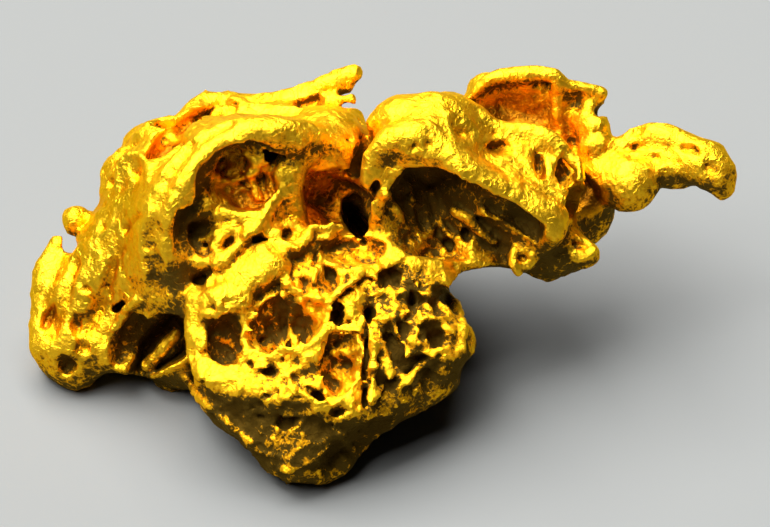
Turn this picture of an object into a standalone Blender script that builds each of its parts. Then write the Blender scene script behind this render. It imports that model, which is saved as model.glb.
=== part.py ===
"""A natural gold nugget, 35 mm long.

One solid: crumpled, water-worn placer gold that stands on three small worn spots. Every lump, fold
and hollow is placed in the nugget's own show frame, in millimetres: u runs to the right along its
length, v runs up its show face and w comes out of that face. The finished body is then leaned back
so that the three worn spots meet the ground at Z = 0, with its length along X.
"""
import math

import bmesh
import bpy
from mathutils import Matrix, Vector

MM = 0.001

# Driving dimensions
LENGTH = 35.4                        # mm, from the left lobe to the tip of the arm
LEAN = math.radians(47.0)            # the show face leans back this far from lying flat, face up
GROUND = -9.62                       # mm, the ground below the middle of the show face
CLAY_VOXEL = 0.30 * MM               # grain at which the lumps are fused
SKIN_VOXEL = 0.26 * MM               # grain at which the hollowed body is fused again
TRIANGLES = 9400                     # what the finished skin is reduced to

GOLD = (1.0, 0.62, 0.06, 1.0)

NAME = "gold_nugget"


def clear_scene():
    for obj in list(bpy.data.objects):
        bpy.data.objects.remove(obj, do_unlink=True)


def turned(degrees):
    """Turn about u, then v, then w."""
    about_u, about_v, about_w = [math.radians(angle) for angle in degrees]
    turn_u = Matrix.Rotation(about_u, 4, "X")
    turn_v = Matrix.Rotation(about_v, 4, "Y")
    turn_w = Matrix.Rotation(about_w, 4, "Z")
    return turn_w @ turn_v @ turn_u


def lump(clay, centre, radii, turn=(0, 0, 0)):
    """A rounded mass: an ellipsoid of three half sizes."""
    size = Matrix.Diagonal((*[radius * MM for radius in radii], 1.0))
    place = Matrix.Translation(Vector(centre) * MM) @ turned(turn) @ size
    bmesh.ops.create_icosphere(clay, subdivisions=3, radius=1.0, matrix=place)


def slab(clay, centre, half, turn=(0, 0, 0), corner=1.0):
    """A thick plate of three half sizes, its edges rounded off."""
    size = Matrix.Diagonal((*[2.0 * side * MM for side in half], 1.0))
    place = Matrix.Translation(Vector(centre) * MM) @ turned(turn) @ size
    made = bmesh.ops.create_cube(clay, size=1.0, matrix=place)
    edges = {edge for vert in made["verts"] for edge in vert.link_edges}
    bmesh.ops.bevel(
        clay,
        geom=list(made["verts"]) + list(edges),
        offset=corner * MM,
        segments=4,
        affect="EDGES",
        profile=0.5,
        clamp_overlap=True,
    )


def strand(clay, *points):
    """A fold or a ridge: a round strand through (u, v, w, radius) points, its ends closed."""
    curve = bpy.data.curves.new("strand", "CURVE")
    curve.dimensions = "3D"
    curve.bevel_depth = MM
    curve.bevel_resolution = 3
    curve.resolution_u = 6
    curve.use_fill_caps = True
    spline = curve.splines.new("BEZIER")
    spline.bezier_points.add(len(points) - 1)
    for knot, (u, v, w, radius) in zip(spline.bezier_points, points):
        knot.co = Vector((u, v, w)) * MM
        knot.radius = radius
        knot.handle_left_type = "AUTO"
        knot.handle_right_type = "AUTO"
    guide = bpy.data.objects.new("strand", curve)
    bpy.context.collection.objects.link(guide)
    graph = bpy.context.evaluated_depsgraph_get()
    mesh = bpy.data.meshes.new_from_object(guide.evaluated_get(graph))
    clay.from_mesh(mesh)
    bpy.data.objects.remove(guide, do_unlink=True)
    bpy.data.curves.remove(curve)
    bpy.data.meshes.remove(mesh)
    for u, v, w, radius in (points[0], points[-1]):
        lump(clay, (u, v, w), (radius, radius, radius))


# ---------------------------------------------------------------- the masses


def flange(clay):
    """The curled plate behind the hood: a thin back, and an edge folded forward round it."""
    slab(clay, (7.3, 6.2, -8.0), (3.3, 3.2, 1.0), turn=(8, 0, -4), corner=0.9)
    lump(clay, (6.6, 3.4, -6.8), (3.2, 2.6, 2.2))
    lump(clay, (9.8, 3.0, -7.4), (1.7, 2.0, 1.3))
    lump(clay, (10.5, 6.0, -6.1), (0.8, 0.7, 0.8))
    strand(
        clay,
        (4.1, 7.2, -6.9, 0.55),
        (4.5, 8.5, -6.4, 0.55),
        (5.1, 9.3, -6.0, 0.55),
        (6.9, 9.6, -5.8, 0.52),
        (8.4, 9.5, -5.8, 0.48),
        (9.2, 9.05, -6.0, 0.42),
        (10.0, 8.8, -6.2, 0.4),
        (10.5, 8.4, -6.4, 0.4),
        (10.2, 7.9, -6.8, 0.36),
    )
    strand(
        clay,
        (9.8, 7.9, -7.0, 0.45),
        (10.2, 7.1, -6.6, 0.65),
        (10.7, 6.0, -6.4, 0.9),
        (10.7, 4.6, -6.4, 0.9),
    )
    strand(clay, (8.5, 9.2, -6.2, 0.3), (8.5, 8.0, -6.9, 0.34), (8.7, 6.6, -7.2, 0.36))


def left_lobe(clay):
    """The low lobe at the left end, which reaches the ground, with a knob on its upper edge."""
    lump(clay, (-15.4, -3.5, -7.2), (2.15, 2.7, 2.1), turn=(0, 0, -10))
    lump(clay, (-14.2, -0.9, -7.2), (2.4, 3.3, 2.6), turn=(0, 0, -22))
    lump(clay, (-12.5, 1.8, -6.6), (2.2, 3.0, 2.8), turn=(0, 0, -20))
    lump(clay, (-13.2, 0.2, -5.9), (1.7, 2.4, 1.7), turn=(0, 0, -20))
    lump(clay, (-12.6, 4.7, -6.1), (1.15, 1.0, 1.2), turn=(0, 0, 20))
    lump(clay, (-11.8, 6.3, -7.3), (0.95, 0.7, 1.0), turn=(0, 0, 15))
    lump(clay, (-10.2, -5.25, -6.6), (1.3, 0.9, 1.3), turn=(0, 0, -15))
    lump(clay, (-12.6, 4.4, -7.2), (1.7, 1.7, 2.0))
    lump(clay, (-12.0, 6.0, -8.2), (1.2, 1.05, 1.6))
    lump(clay, (-11.9, -4.2, -6.4), (2.8, 1.5, 1.9), turn=(0, 0, 5))
    lump(clay, (-15.9, -4.6, -7.7), (1.3, 1.6, 1.5))
    strand(
        clay,
        (-16.4, 1.0, -7.4, 0.55),
        (-17.0, -0.6, -7.2, 0.7),
        (-17.2, -2.6, -6.9, 0.6),
        (-17.3, -4.2, -6.6, 0.5),
    )
    lump(clay, (-15.45, 2.2, -8.0), (0.8, 0.75, 0.75))
    strand(clay, (-15.5, 2.2, -8.1, 0.5), (-14.8, 2.3, -8.1, 0.55), (-14.0, 2.0, -7.8, 0.8))


def back_ridge(clay):
    """The crest along the top left, ending in a forked spur, and the saddle in front of it."""
    lump(clay, (-9.0, 5.0, -7.0), (3.2, 2.9, 3.4))
    lump(clay, (-4.6, 5.9, -7.0), (4.2, 2.2, 3.2))
    lump(clay, (-2.6, 5.5, -5.4), (1.9, 2.2, 3.0))
    strand(
        clay,
        (-10.4, 6.2, -8.4, 0.9),
        (-9.7, 7.5, -8.6, 0.8),
        (-8.4, 8.0, -8.8, 0.75),
        (-6.6, 7.9, -8.6, 0.75),
        (-4.8, 8.05, -8.2, 0.8),
        (-3.4, 8.7, -7.8, 0.7),
        (-2.4, 9.3, -7.6, 0.55),
        (-1.5, 9.55, -7.5, 0.45),
    )
    strand(
        clay,
        (-7.6, 7.9, -7.6, 0.55),
        (-6.4, 7.4, -7.0, 0.55),
        (-4.9, 7.1, -6.6, 0.6),
        (-3.4, 7.3, -6.6, 0.55),
        (-1.5, 7.4, -6.7, 0.4),
    )
    slab(clay, (-3.2, 8.55, -7.7), (1.7, 0.5, 0.45), turn=(0, 0, 24), corner=0.3)
    strand(clay, (-3.8, 7.9, -7.3, 0.5), (-2.6, 8.15, -7.2, 0.38), (-1.7, 8.2, -7.1, 0.34))


def core(clay):
    """What the other masses grow from, with a heel behind that reaches the ground."""
    lump(clay, (-6.0, 1.0, -7.6), (6.2, 5.0, 4.2))
    lump(clay, (0.4, 2.2, -7.8), (4.2, 3.6, 3.6))
    lump(clay, (-11.0, -1.2, -5.8), (2.6, 3.8, 3.0))
    lump(clay, (-11.2, 2.0, -4.6), (1.8, 4.0, 3.4))
    lump(clay, (-7.4, 3.4, -4.8), (3.6, 3.4, 2.8))
    lump(clay, (-6.8, 6.0, -3.6), (3.4, 1.3, 2.6), turn=(0, 0, -5))
    lump(clay, (0.5, 0.0, -10.9), (2.6, 2.4, 2.5))


def hidden_back(clay):
    """Lobes and two thick folds across the far side."""
    lump(clay, (-8.8, 4.4, -10.0), (2.4, 2.0, 1.9), turn=(0, 0, 15))
    lump(clay, (-2.6, 5.2, -9.8), (2.6, 1.9, 1.8), turn=(0, 0, -10))
    lump(clay, (2.6, 4.6, -7.6), (1.9, 1.9, 2.0))
    strand(
        clay,
        (-13.2, 3.0, -8.8, 0.8),
        (-11.2, 1.8, -10.4, 1.0),
        (-8.0, 1.0, -11.6, 1.1),
        (-4.6, 1.2, -12.1, 1.1),
        (-1.6, 1.2, -12.2, 1.0),
        (0.8, 2.6, -11.6, 0.9),
        (2.6, 4.2, -9.8, 0.8),
    )
    strand(
        clay,
        (-15.6, -4.0, -9.0, 0.6),
        (-14.8, -2.0, -9.7, 0.8),
        (-13.6, 0.6, -9.7, 0.8),
        (-12.6, 3.0, -9.4, 0.7),
        (-11.2, 5.2, -9.6, 0.7),
    )


def lower_body(clay):
    """The broad pitted face, leaning back, and the rounded foot below it."""
    slab(clay, (-3.6, -2.6, -3.6), (5.8, 4.4, 2.7), turn=(-19, 0, 0), corner=2.2)
    slab(clay, (0.9, -2.7, -4.0), (3.2, 4.2, 3.0), turn=(-19, 14, 6), corner=2.2)
    lump(clay, (-3.6, -5.5, -2.3), (5.8, 4.1, 3.1), turn=(0, 0, 8))
    lump(clay, (-3.9, -8.5, -1.9), (2.8, 2.65, 2.3), turn=(0, 0, 10))
    lump(clay, (1.6, -6.5, -2.6), (1.6, 0.9, 1.4), turn=(0, 0, 15))
    strand(
        clay,
        (-9.3, -2.0, -1.6, 0.6),
        (-9.4, -4.0, -1.2, 0.65),
        (-8.7, -5.6, -0.6, 0.65),
        (-7.2, -6.3, -0.1, 0.65),
        (-5.6, -6.6, 0.3, 0.7),
        (-4.2, -6.5, 0.5, 0.8),
        (-2.4, -7.0, 0.3, 0.75),
        (-0.8, -7.3, -0.3, 0.65),
        (0.5, -6.6, -0.9, 0.55),
    )


def hood(clay):
    """The wide sheet on the right that overhangs a hollow, with its brow and its far edge."""
    lump(clay, (2.2, 5.6, -3.3), (2.6, 2.7, 2.6))
    lump(clay, (0.3, 4.0, -3.8), (1.3, 2.7, 2.4), turn=(0, 0, 8))
    lump(clay, (1.0, 7.3, -3.6), (1.9, 1.05, 1.6), turn=(0, 0, 8))
    slab(clay, (5.4, 4.6, -3.6), (4.6, 2.5, 1.5), turn=(-44, 0, -33), corner=1.2)
    slab(clay, (3.4, 2.6, -5.6), (4.0, 3.0, 1.9), turn=(-10, 0, -24), corner=1.5)
    lump(clay, (7.4, 0.9, -5.6), (3.2, 1.5, 2.0), turn=(0, 0, -6))
    strand(
        clay,
        (-0.6, 1.8, -2.6, 0.3),
        (-0.9, 3.2, -2.0, 0.4),
        (-0.7, 4.8, -1.5, 0.5),
        (0.1, 6.0, -1.3, 0.7),
        (1.3, 6.3, -1.1, 0.9),
        (2.5, 5.9, -1.0, 0.8),
        (3.9, 4.6, -1.1, 0.7),
        (5.4, 3.7, -1.4, 0.7),
        (6.8, 2.9, -1.8, 0.75),
        (8.1, 1.8, -2.4, 0.6),
    )
    strand(
        clay,
        (3.9, 7.4, -3.4, 0.5),
        (5.3, 6.75, -3.7, 0.5),
        (6.75, 6.5, -3.9, 0.5),
        (8.0, 6.1, -3.9, 0.5),
        (9.0, 5.4, -3.8, 0.5),
        (9.5, 4.7, -3.7, 0.45),
        (9.7, 4.1, -3.6, 0.35),
    )
    strand(clay, (9.5, 4.4, -3.5, 0.3), (9.3, 3.2, -3.2, 0.3), (8.9, 2.3, -2.9, 0.35), (8.3, 1.7, -2.6, 0.5))


def arm(clay):
    """The arm at the right end: a blunt root, a thick middle and a drooping end."""
    lump(clay, (12.3, 4.15, -5.7), (1.6, 1.45, 1.3), turn=(0, 0, -15))
    strand(
        clay,
        (11.8, 5.8, -6.4, 0.5),
        (12.9, 6.3, -6.2, 0.6),
        (14.0, 6.35, -5.9, 0.6),
        (15.2, 6.0, -5.7, 0.7),
    )
    lump(clay, (14.3, 4.95, -6.1), (1.6, 1.2, 0.95), turn=(0, 0, -5))
    lump(clay, (16.0, 4.9, -5.6), (1.6, 1.3, 1.1), turn=(0, 0, -38))
    lump(clay, (16.8, 3.95, -5.6), (0.7, 0.85, 0.75), turn=(0, 0, 15))


def curled_rim(clay):
    """The broad rim that curls round the left hollow like a letter C."""
    strand(
        clay,
        (-10.4, -1.8, -2.8, 0.9),
        (-10.7, 0.2, -2.1, 1.2),
        (-10.6, 2.4, -1.4, 1.4),
        (-9.9, 4.1, -1.0, 1.35),
        (-8.8, 5.45, -0.9, 1.15),
        (-7.5, 6.15, -0.9, 0.95),
        (-6.0, 6.5, -0.9, 0.85),
        (-4.9, 6.4, -1.3, 0.8),
        (-4.0, 6.3, -2.0, 0.75),
        (-3.1, 6.1, -2.8, 0.6),
    )


# ---------------------------------------------------------------- what is hollowed out


def show_hollows(cutter):
    """The great hollows of the show face, and what is trimmed from its right edge."""
    lump(cutter, (-6.9, 3.35, -0.6), (3.0, 2.75, 2.3), turn=(0, 0, -20))
    lump(cutter, (-6.9, 3.4, 1.0), (3.0, 2.6, 2.6), turn=(0, 0, -20))
    lump(cutter, (-8.9, 1.0, -0.6), (1.25, 2.3, 1.7), turn=(0, 0, 10))
    lump(cutter, (-2.7, 3.1, -2.6), (1.9, 1.9, 3.6), turn=(0, 0, 20))
    lump(cutter, (-1.5, 2.2, -5.4), (0.95, 1.2, 4.0), turn=(0, 0, 20))
    lump(cutter, (2.6, 2.5, -1.6), (3.1, 2.35, 2.7), turn=(0, 0, -30))
    lump(cutter, (5.6, 0.9, -1.8), (3.0, 1.4, 2.5), turn=(0, 0, -28))
    lump(cutter, (-11.5, -3.9, -4.2), (2.35, 1.5, 2.6), turn=(0, 0, 60))
    lump(cutter, (-1.2, -9.2, -0.4), (2.6, 1.0, 1.6), turn=(0, 0, 30))
    lump(cutter, (5.0, -1.75, -5.0), (1.95, 1.85, 4.2))
    lump(cutter, (4.75, -5.6, -3.5), (1.25, 1.15, 4.5))
    lump(cutter, (6.6, 7.7, -6.5), (1.6, 1.1, 0.8))
    strand(
        cutter,
        (-0.5, 7.0, -2.6, 0.3),
        (-0.8, 6.1, -2.9, 0.5),
        (-1.1, 5.2, -3.3, 0.6),
        (-1.5, 4.4, -3.7, 0.7),
    )


def show_pits(cutter):
    """The pits that are large enough to tell from a step away."""
    lump(cutter, (-7.1, 3.95, -1.9), (1.35, 1.45, 1.5))
    lump(cutter, (-5.5, 5.45, -1.9), (0.95, 0.6, 1.2), turn=(0, 0, -10))
    lump(cutter, (-9.15, 1.5, -1.9), (0.85, 1.15, 1.3))
    lump(cutter, (-7.8, -4.15, -0.2), (1.25, 1.0, 1.5), turn=(0, 0, -20))
    lump(cutter, (-4.85, -3.2, 0.0), (1.25, 1.45, 1.5), turn=(0, 0, 10))
    lump(cutter, (-2.35, -4.75, 0.2), (1.1, 1.5, 1.2), turn=(0, 0, 5))
    lump(cutter, (2.65, -3.55, -0.6), (0.7, 0.7, 1.0))
    lump(cutter, (0.15, -0.85, -1.0), (0.65, 0.6, 0.9))
    lump(cutter, (1.0, -4.0, -0.1), (0.6, 1.0, 0.8))
    lump(cutter, (7.7, 4.8, -2.9), (0.45, 0.8, 1.0), turn=(0, 0, 8))
    lump(cutter, (9.1, 4.4, -3.3), (0.6, 0.95, 1.2), turn=(0, 0, -12))
    lump(cutter, (5.85, 5.8, -2.5), (0.65, 0.5, 0.9))
    lump(cutter, (-17.0, -2.85, -5.8), (0.5, 0.8, 0.8), turn=(0, 0, -25))
    lump(cutter, (-13.2, -2.2, -4.6), (0.5, 0.6, 0.9))
    lump(cutter, (13.2, 5.4, -4.8), (0.95, 0.35, 0.9))


def hidden_hollows(cutter):
    """Hollows of the far side and of the underside."""
    lump(cutter, (-5.6, 3.4, -12.2), (2.2, 1.4, 2.3), turn=(0, 0, 6))
    lump(cutter, (-0.4, 3.2, -12.4), (1.3, 1.1, 2.0))
    lump(cutter, (-10.9, 3.4, -11.4), (1.1, 1.2, 1.8))
    lump(cutter, (-6.2, -1.6, -12.6), (2.8, 1.1, 2.2), turn=(0, 0, 4))
    lump(cutter, (-11.6, -0.6, -11.2), (1.3, 1.2, 1.7), turn=(0, 0, 30))
    lump(cutter, (-9.0, -3.6, -9.8), (2.2, 1.2, 2.0), turn=(20, 0, 10))
    lump(cutter, (-3.4, -4.6, -9.6), (2.6, 1.4, 2.6), turn=(25, 0, 0))
    lump(cutter, (7.2, 7.0, -10.4), (1.9, 1.5, 2.1), turn=(0, 0, 10))
    lump(cutter, (4.8, 2.2, -9.4), (1.5, 1.3, 2.0))
    lump(cutter, (-14.4, 1.2, -11.2), (0.9, 1.5, 1.6), turn=(0, 0, -20))


# ---------------------------------------------------------------- what stands up in the hollows


def show_ridges(clay):
    """The tongue, the knobs and the ridges between the pits of the show face."""
    lump(clay, (-7.2, -1.4, -1.6), (1.9, 1.5, 1.1), turn=(0, 0, -10))
    lump(clay, (-6.5, 0.95, -3.0), (2.3, 1.4, 1.5), turn=(0, 0, 8))
    lump(clay, (-3.4, 1.2, -2.8), (1.3, 0.8, 1.0))
    lump(clay, (6.7, 0.3, -3.9), (0.9, 0.9, 0.9))
    lump(clay, (9.8, 0.65, -5.0), (1.0, 0.8, 0.9))
    strand(
        clay,
        (-4.0, 5.9, -2.4, 0.6),
        (-4.6, 4.9, -2.5, 0.8),
        (-4.9, 4.0, -2.8, 0.85),
        (-4.7, 3.0, -3.2, 0.8),
        (-4.6, 2.0, -3.4, 0.8),
    )
    strand(
        clay,
        (-8.5, 2.7, -2.3, 0.45),
        (-7.4, 2.2, -1.9, 0.5),
        (-6.2, 2.4, -2.0, 0.45),
        (-5.5, 3.0, -2.3, 0.45),
    )
    strand(
        clay,
        (-10.4, 0.5, -2.0, 0.4),
        (-9.6, 0.05, -1.6, 0.42),
        (-8.6, 0.1, -1.4, 0.4),
        (-7.3, 1.05, -1.4, 0.38),
        (-6.1, 2.2, -1.7, 0.36),
    )
    strand(
        clay,
        (-5.6, 1.8, -2.0, 0.36),
        (-4.9, 0.9, -1.7, 0.38),
        (-3.9, 1.4, -1.8, 0.36),
        (-2.6, 1.8, -2.1, 0.32),
    )
    strand(
        clay,
        (-6.9, -3.4, -0.4, 0.32),
        (-6.7, -4.3, 0.0, 0.35),
        (-6.1, -5.0, 0.3, 0.38),
        (-5.0, -5.3, 0.5, 0.4),
        (-4.0, -5.2, 0.6, 0.38),
        (-3.2, -4.0, 0.3, 0.34),
        (-2.9, -3.0, 0.0, 0.32),
    )
    strand(clay, (-0.75, -2.6, -0.1, 0.35), (-0.5, -4.4, 0.3, 0.4), (-0.7, -6.8, 0.4, 0.36))
    strand(clay, (1.8, -2.6, -0.8, 0.34), (3.0, -2.7, -1.1, 0.36), (3.6, -3.8, -1.3, 0.36))
    strand(clay, (-11.9, -5.2, -6.2, 0.4), (-11.0, -4.3, -5.8, 0.42), (-10.4, -3.5, -5.4, 0.4))


# ---------------------------------------------------------------- the solid


def mesh_object(name, build_parts):
    """One object whose mesh holds the shapes that the given functions lay down."""
    clay = bmesh.new()
    for build in build_parts:
        build(clay)
    mesh = bpy.data.meshes.new(name)
    clay.to_mesh(mesh)
    clay.free()
    obj = bpy.data.objects.new(name, mesh)
    bpy.context.collection.objects.link(obj)
    return obj


def fuse(obj, voxel, rounds):
    """Melts overlapping shapes into one skin, then softens the joints."""
    melt = obj.modifiers.new("Fuse", "REMESH")
    melt.mode = "VOXEL"
    melt.voxel_size = voxel
    melt.use_smooth_shade = True
    soften = obj.modifiers.new("Soften", "SMOOTH")
    soften.factor = 0.5
    soften.iterations = rounds


def cut_away(obj, cutter):
    """Takes the cutter's shape out of the object and hides the cutter."""
    cut = obj.modifiers.new("Cut", "BOOLEAN")
    cut.operation = "DIFFERENCE"
    cut.solver = "EXACT"
    cut.object = cutter
    cutter.hide_render = True
    cutter.display_type = "WIRE"


def join_on(obj, addition):
    """Joins a second shape to the object, for good."""
    join = obj.modifiers.new("Join", "BOOLEAN")
    join.operation = "UNION"
    join.solver = "EXACT"
    join.object = addition
    addition.hide_render = True
    addition.display_type = "WIRE"


def ground_block():
    """Everything under the ground: its top is where the nugget has worn flat."""
    clay = bmesh.new()
    bmesh.ops.create_cube(clay, size=1.0, matrix=Matrix.Diagonal((60 * MM, 60 * MM, 10 * MM, 1.0)))
    bmesh.ops.translate(clay, vec=(0.0, 0.0, -5 * MM), verts=clay.verts)
    mesh = bpy.data.meshes.new("ground_block")
    clay.to_mesh(mesh)
    clay.free()
    block = bpy.data.objects.new("ground_block", mesh)
    bpy.context.collection.objects.link(block)
    return block


def linked_bodies(clay):
    """The separate bodies of a mesh, as sets of points."""
    bodies = []
    seen = set()
    for start in clay.verts:
        if start in seen:
            continue
        body = {start}
        edge_of_body = [start]
        while edge_of_body:
            vert = edge_of_body.pop()
            for edge in vert.link_edges:
                other = edge.other_vert(vert)
                if other not in body:
                    body.add(other)
                    edge_of_body.append(other)
        seen |= body
        bodies.append(body)
    return bodies


def settle(obj):
    """Keeps the shape that the modifiers give, without the chips that the hollows cut loose."""
    graph = bpy.context.evaluated_depsgraph_get()
    mesh = bpy.data.meshes.new_from_object(obj.evaluated_get(graph))
    obj.modifiers.clear()
    clay = bmesh.new()
    clay.from_mesh(mesh)
    bodies = sorted(linked_bodies(clay), key=len)
    chips = [vert for body in bodies[:-1] for vert in body]
    bmesh.ops.delete(clay, geom=chips, context="VERTS")
    clay.to_mesh(mesh)
    clay.free()
    obj.data = mesh


def reduce(obj, triangles):
    """Brings the skin down to a number of triangles."""
    graph = bpy.context.evaluated_depsgraph_get()
    counted = obj.evaluated_get(graph).to_mesh()
    counted.calc_loop_triangles()
    share = triangles / len(counted.loop_triangles)
    obj.evaluated_get(graph).to_mesh_clear()
    thin = obj.modifiers.new("Reduce", "DECIMATE")
    thin.decimate_type = "COLLAPSE"
    thin.ratio = share
    thin.use_collapse_triangulate = True


def centred(obj):
    """Moves the object so that the middle of its bounding box stands over the origin."""
    graph = bpy.context.evaluated_depsgraph_get()
    settled = obj.evaluated_get(graph)
    mesh = settled.to_mesh()
    points = [obj.matrix_world @ vert.co for vert in mesh.vertices]
    middle_x = (min(p.x for p in points) + max(p.x for p in points)) / 2
    middle_y = (min(p.y for p in points) + max(p.y for p in points)) / 2
    settled.to_mesh_clear()
    obj.location.x -= middle_x
    obj.location.y -= middle_y
    bpy.context.view_layer.update()


def gold_material():
    gold = bpy.data.materials.new("native_gold")
    gold.use_nodes = True
    shader = gold.node_tree.nodes["Principled BSDF"]
    shader.inputs["Base Color"].default_value = GOLD
    shader.inputs["Metallic"].default_value = 1.0
    shader.inputs["Roughness"].default_value = 0.3
    gold.diffuse_color = GOLD
    return gold


def build():
    clear_scene()
    masses = (flange, left_lobe, back_ridge, core, hidden_back, lower_body, hood, arm, curled_rim)
    nugget = mesh_object(NAME, masses)
    hollows = mesh_object("hollows", (show_hollows, show_pits, hidden_hollows))
    ridges = mesh_object("ridges", (show_ridges,))
    for obj in (nugget, hollows, ridges):
        obj.rotation_euler = (LEAN, 0.0, 0.0)
        obj.location = (0.0, 0.0, -GROUND * MM)
    fuse(nugget, CLAY_VOXEL, 5)
    fuse(hollows, CLAY_VOXEL, 1)
    fuse(ridges, SKIN_VOXEL, 1)
    cut_away(nugget, hollows)
    join_on(nugget, ridges)
    fuse(nugget, SKIN_VOXEL, 3)
    settle(nugget)
    reduce(nugget, TRIANGLES)
    cut_away(nugget, ground_block())
    flat = nugget.modifiers.new("Triangles", "TRIANGULATE")
    flat.quad_method = "BEAUTY"
    bpy.context.view_layer.update()
    nugget.data.materials.append(gold_material())
    centred(nugget)


build()
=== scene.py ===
# %% [markdown]
# # A gold nugget, shaped like clay
# A nugget is metal that grew in cracks of quartz, was torn loose and was then rolled by a river. It
# has no straight line and no two parts alike, so it can't be turned, lofted or subdivided from a
# box. This lesson shapes it the way a sculptor works clay: big masses first, then great hollows,
# then pits and ridges, then the fine skin. The clay is a block of numbers, one for each point of a
# fine grid, and each number says how far that point is from the surface. Adding a lump or cutting
# a hollow is then one line of arithmetic, and every joint can be as soft as the real metal's.

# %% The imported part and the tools
import itertools
import math

import bpy
import numpy as np
import openvdb
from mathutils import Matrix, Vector


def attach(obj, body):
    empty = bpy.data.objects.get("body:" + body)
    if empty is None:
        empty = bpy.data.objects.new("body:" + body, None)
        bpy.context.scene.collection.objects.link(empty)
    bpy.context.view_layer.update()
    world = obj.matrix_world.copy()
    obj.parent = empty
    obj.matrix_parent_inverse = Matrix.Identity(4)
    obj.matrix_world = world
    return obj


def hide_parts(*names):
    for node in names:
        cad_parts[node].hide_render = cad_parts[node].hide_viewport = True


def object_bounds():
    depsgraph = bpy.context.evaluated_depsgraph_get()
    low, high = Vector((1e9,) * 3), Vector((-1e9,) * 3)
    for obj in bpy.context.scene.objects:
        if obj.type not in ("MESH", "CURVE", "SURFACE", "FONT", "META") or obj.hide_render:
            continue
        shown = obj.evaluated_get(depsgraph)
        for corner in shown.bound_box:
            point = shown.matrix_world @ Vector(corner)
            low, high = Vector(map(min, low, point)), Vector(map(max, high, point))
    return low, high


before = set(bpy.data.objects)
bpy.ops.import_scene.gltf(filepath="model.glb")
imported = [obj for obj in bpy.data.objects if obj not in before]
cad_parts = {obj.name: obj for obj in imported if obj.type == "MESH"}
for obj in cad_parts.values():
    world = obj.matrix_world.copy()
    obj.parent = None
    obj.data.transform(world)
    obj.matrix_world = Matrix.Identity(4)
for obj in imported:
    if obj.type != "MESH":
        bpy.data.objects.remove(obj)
PART_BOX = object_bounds()
part_size = [round((high - low) * 1000, 1) for low, high in zip(*PART_BOX)]
print("part box in mm:", part_size)

# %% [markdown]
# ## Two frames
# The nugget is easiest to describe facing its show side: u runs to the right, v up, and w out of
# the face towards you, all in millimetres. The part stands in another frame, with Z up from the
# ground. One lean about the long axis joins the two, and these few numbers are the only link.

# %% The show frame and the part's frame
MM = 0.001
LEAN = math.radians(47.0)        # the show face leans back this far from lying face up
GROUND = -9.62                   # mm, height of the ground in the show frame's leaned axes
SHIFT = (0.2, -2.9)              # mm, from the show frame's middle to the middle of the part's box
GRAIN = 0.142                    # mm, spacing of the grid that holds the clay
LOW = np.array((-18.4, -12.0, -13.8))
HIGH = np.array((18.4, 10.9, 2.6))


def to_part(points):
    """Show-frame millimetres to part-frame metres."""
    u, v, w = points.T
    x = u + SHIFT[0]
    y = v * math.cos(LEAN) - w * math.sin(LEAN) + SHIFT[1]
    z = v * math.sin(LEAN) + w * math.cos(LEAN) - GROUND
    return np.stack([x, y, z], axis=1) * MM


middle_mm = to_part(np.zeros((1, 3)))[0] / MM
print("the middle of the show frame, in the part's frame in mm:", middle_mm.round(2))

# %% [markdown]
# ## The clay
# A distance field answers one question at every grid point: how far is the nearest surface, with
# inside counted as negative. Two shapes are joined by taking the smaller distance, and a hollow is
# cut by taking the larger of the first and the negative of the second. A smooth version of each
# rounds the joint over a chosen width, which is what makes separate lumps read as one metal.

# %% Smooth joining and cutting
def smooth_min(a, b, width):
    near = np.maximum(width - np.abs(a - b), 0.0) / width
    return np.minimum(a, b) - near * near * width / 4.0


def smooth_max(a, b, width):
    return -smooth_min(-a, -b, width)


print("two faces 0.1 mm apart, joined over 0.3 mm:", round(smooth_min(0.0, 0.1, 0.3), 3))

# %% [markdown]
# Real metal is never as even as a formula. A warp moves every point of the grid a little before a
# shape is measured there, by smooth seeded noise, so ellipsoids come out lopsided and strands
# waver. The noise is a coarse lattice of random numbers, blown up and smoothed along each axis.

# %% Seeded clouds of noise
def cloud(axes, spacing, seed):
    """Smooth noise on the grid, from -1 to 1, whose lumps are `spacing` mm across."""
    random = np.random.default_rng(seed)
    knots = [int((axis[-1] - axis[0]) / spacing) + 3 for axis in axes]
    value = random.uniform(-1, 1, knots).astype(np.float32)
    for number, axis in enumerate(axes):
        place = (axis - axis[0]) / spacing
        low = np.floor(place).astype(int)
        blend = (place - low).astype(np.float32)
        blend = blend * blend * (3 - 2 * blend)
        shape = [1, 1, 1]
        shape[number] = -1
        blend = blend.reshape(shape)
        value = np.take(value, low, number) * (1 - blend) + np.take(value, low + 1, number) * blend
    return value


small_cloud = cloud([np.arange(0.0, 6.0, 0.5)] * 3, 1.5, seed=1)
print("a small cloud runs from", small_cloud.min().round(2), "to", small_cloud.max().round(2))

# %% [markdown]
# The block of clay is the grid with its distances. A tool never touches the whole block: it asks for
# the patch of grid round its shape, measures the distance there and works it in, so hundreds of
# strokes take seconds.

# %% The block of clay
FAR = 50.0                       # mm, what an empty grid point holds
MARGIN = 1.6                     # mm of field worked round each shape


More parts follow.
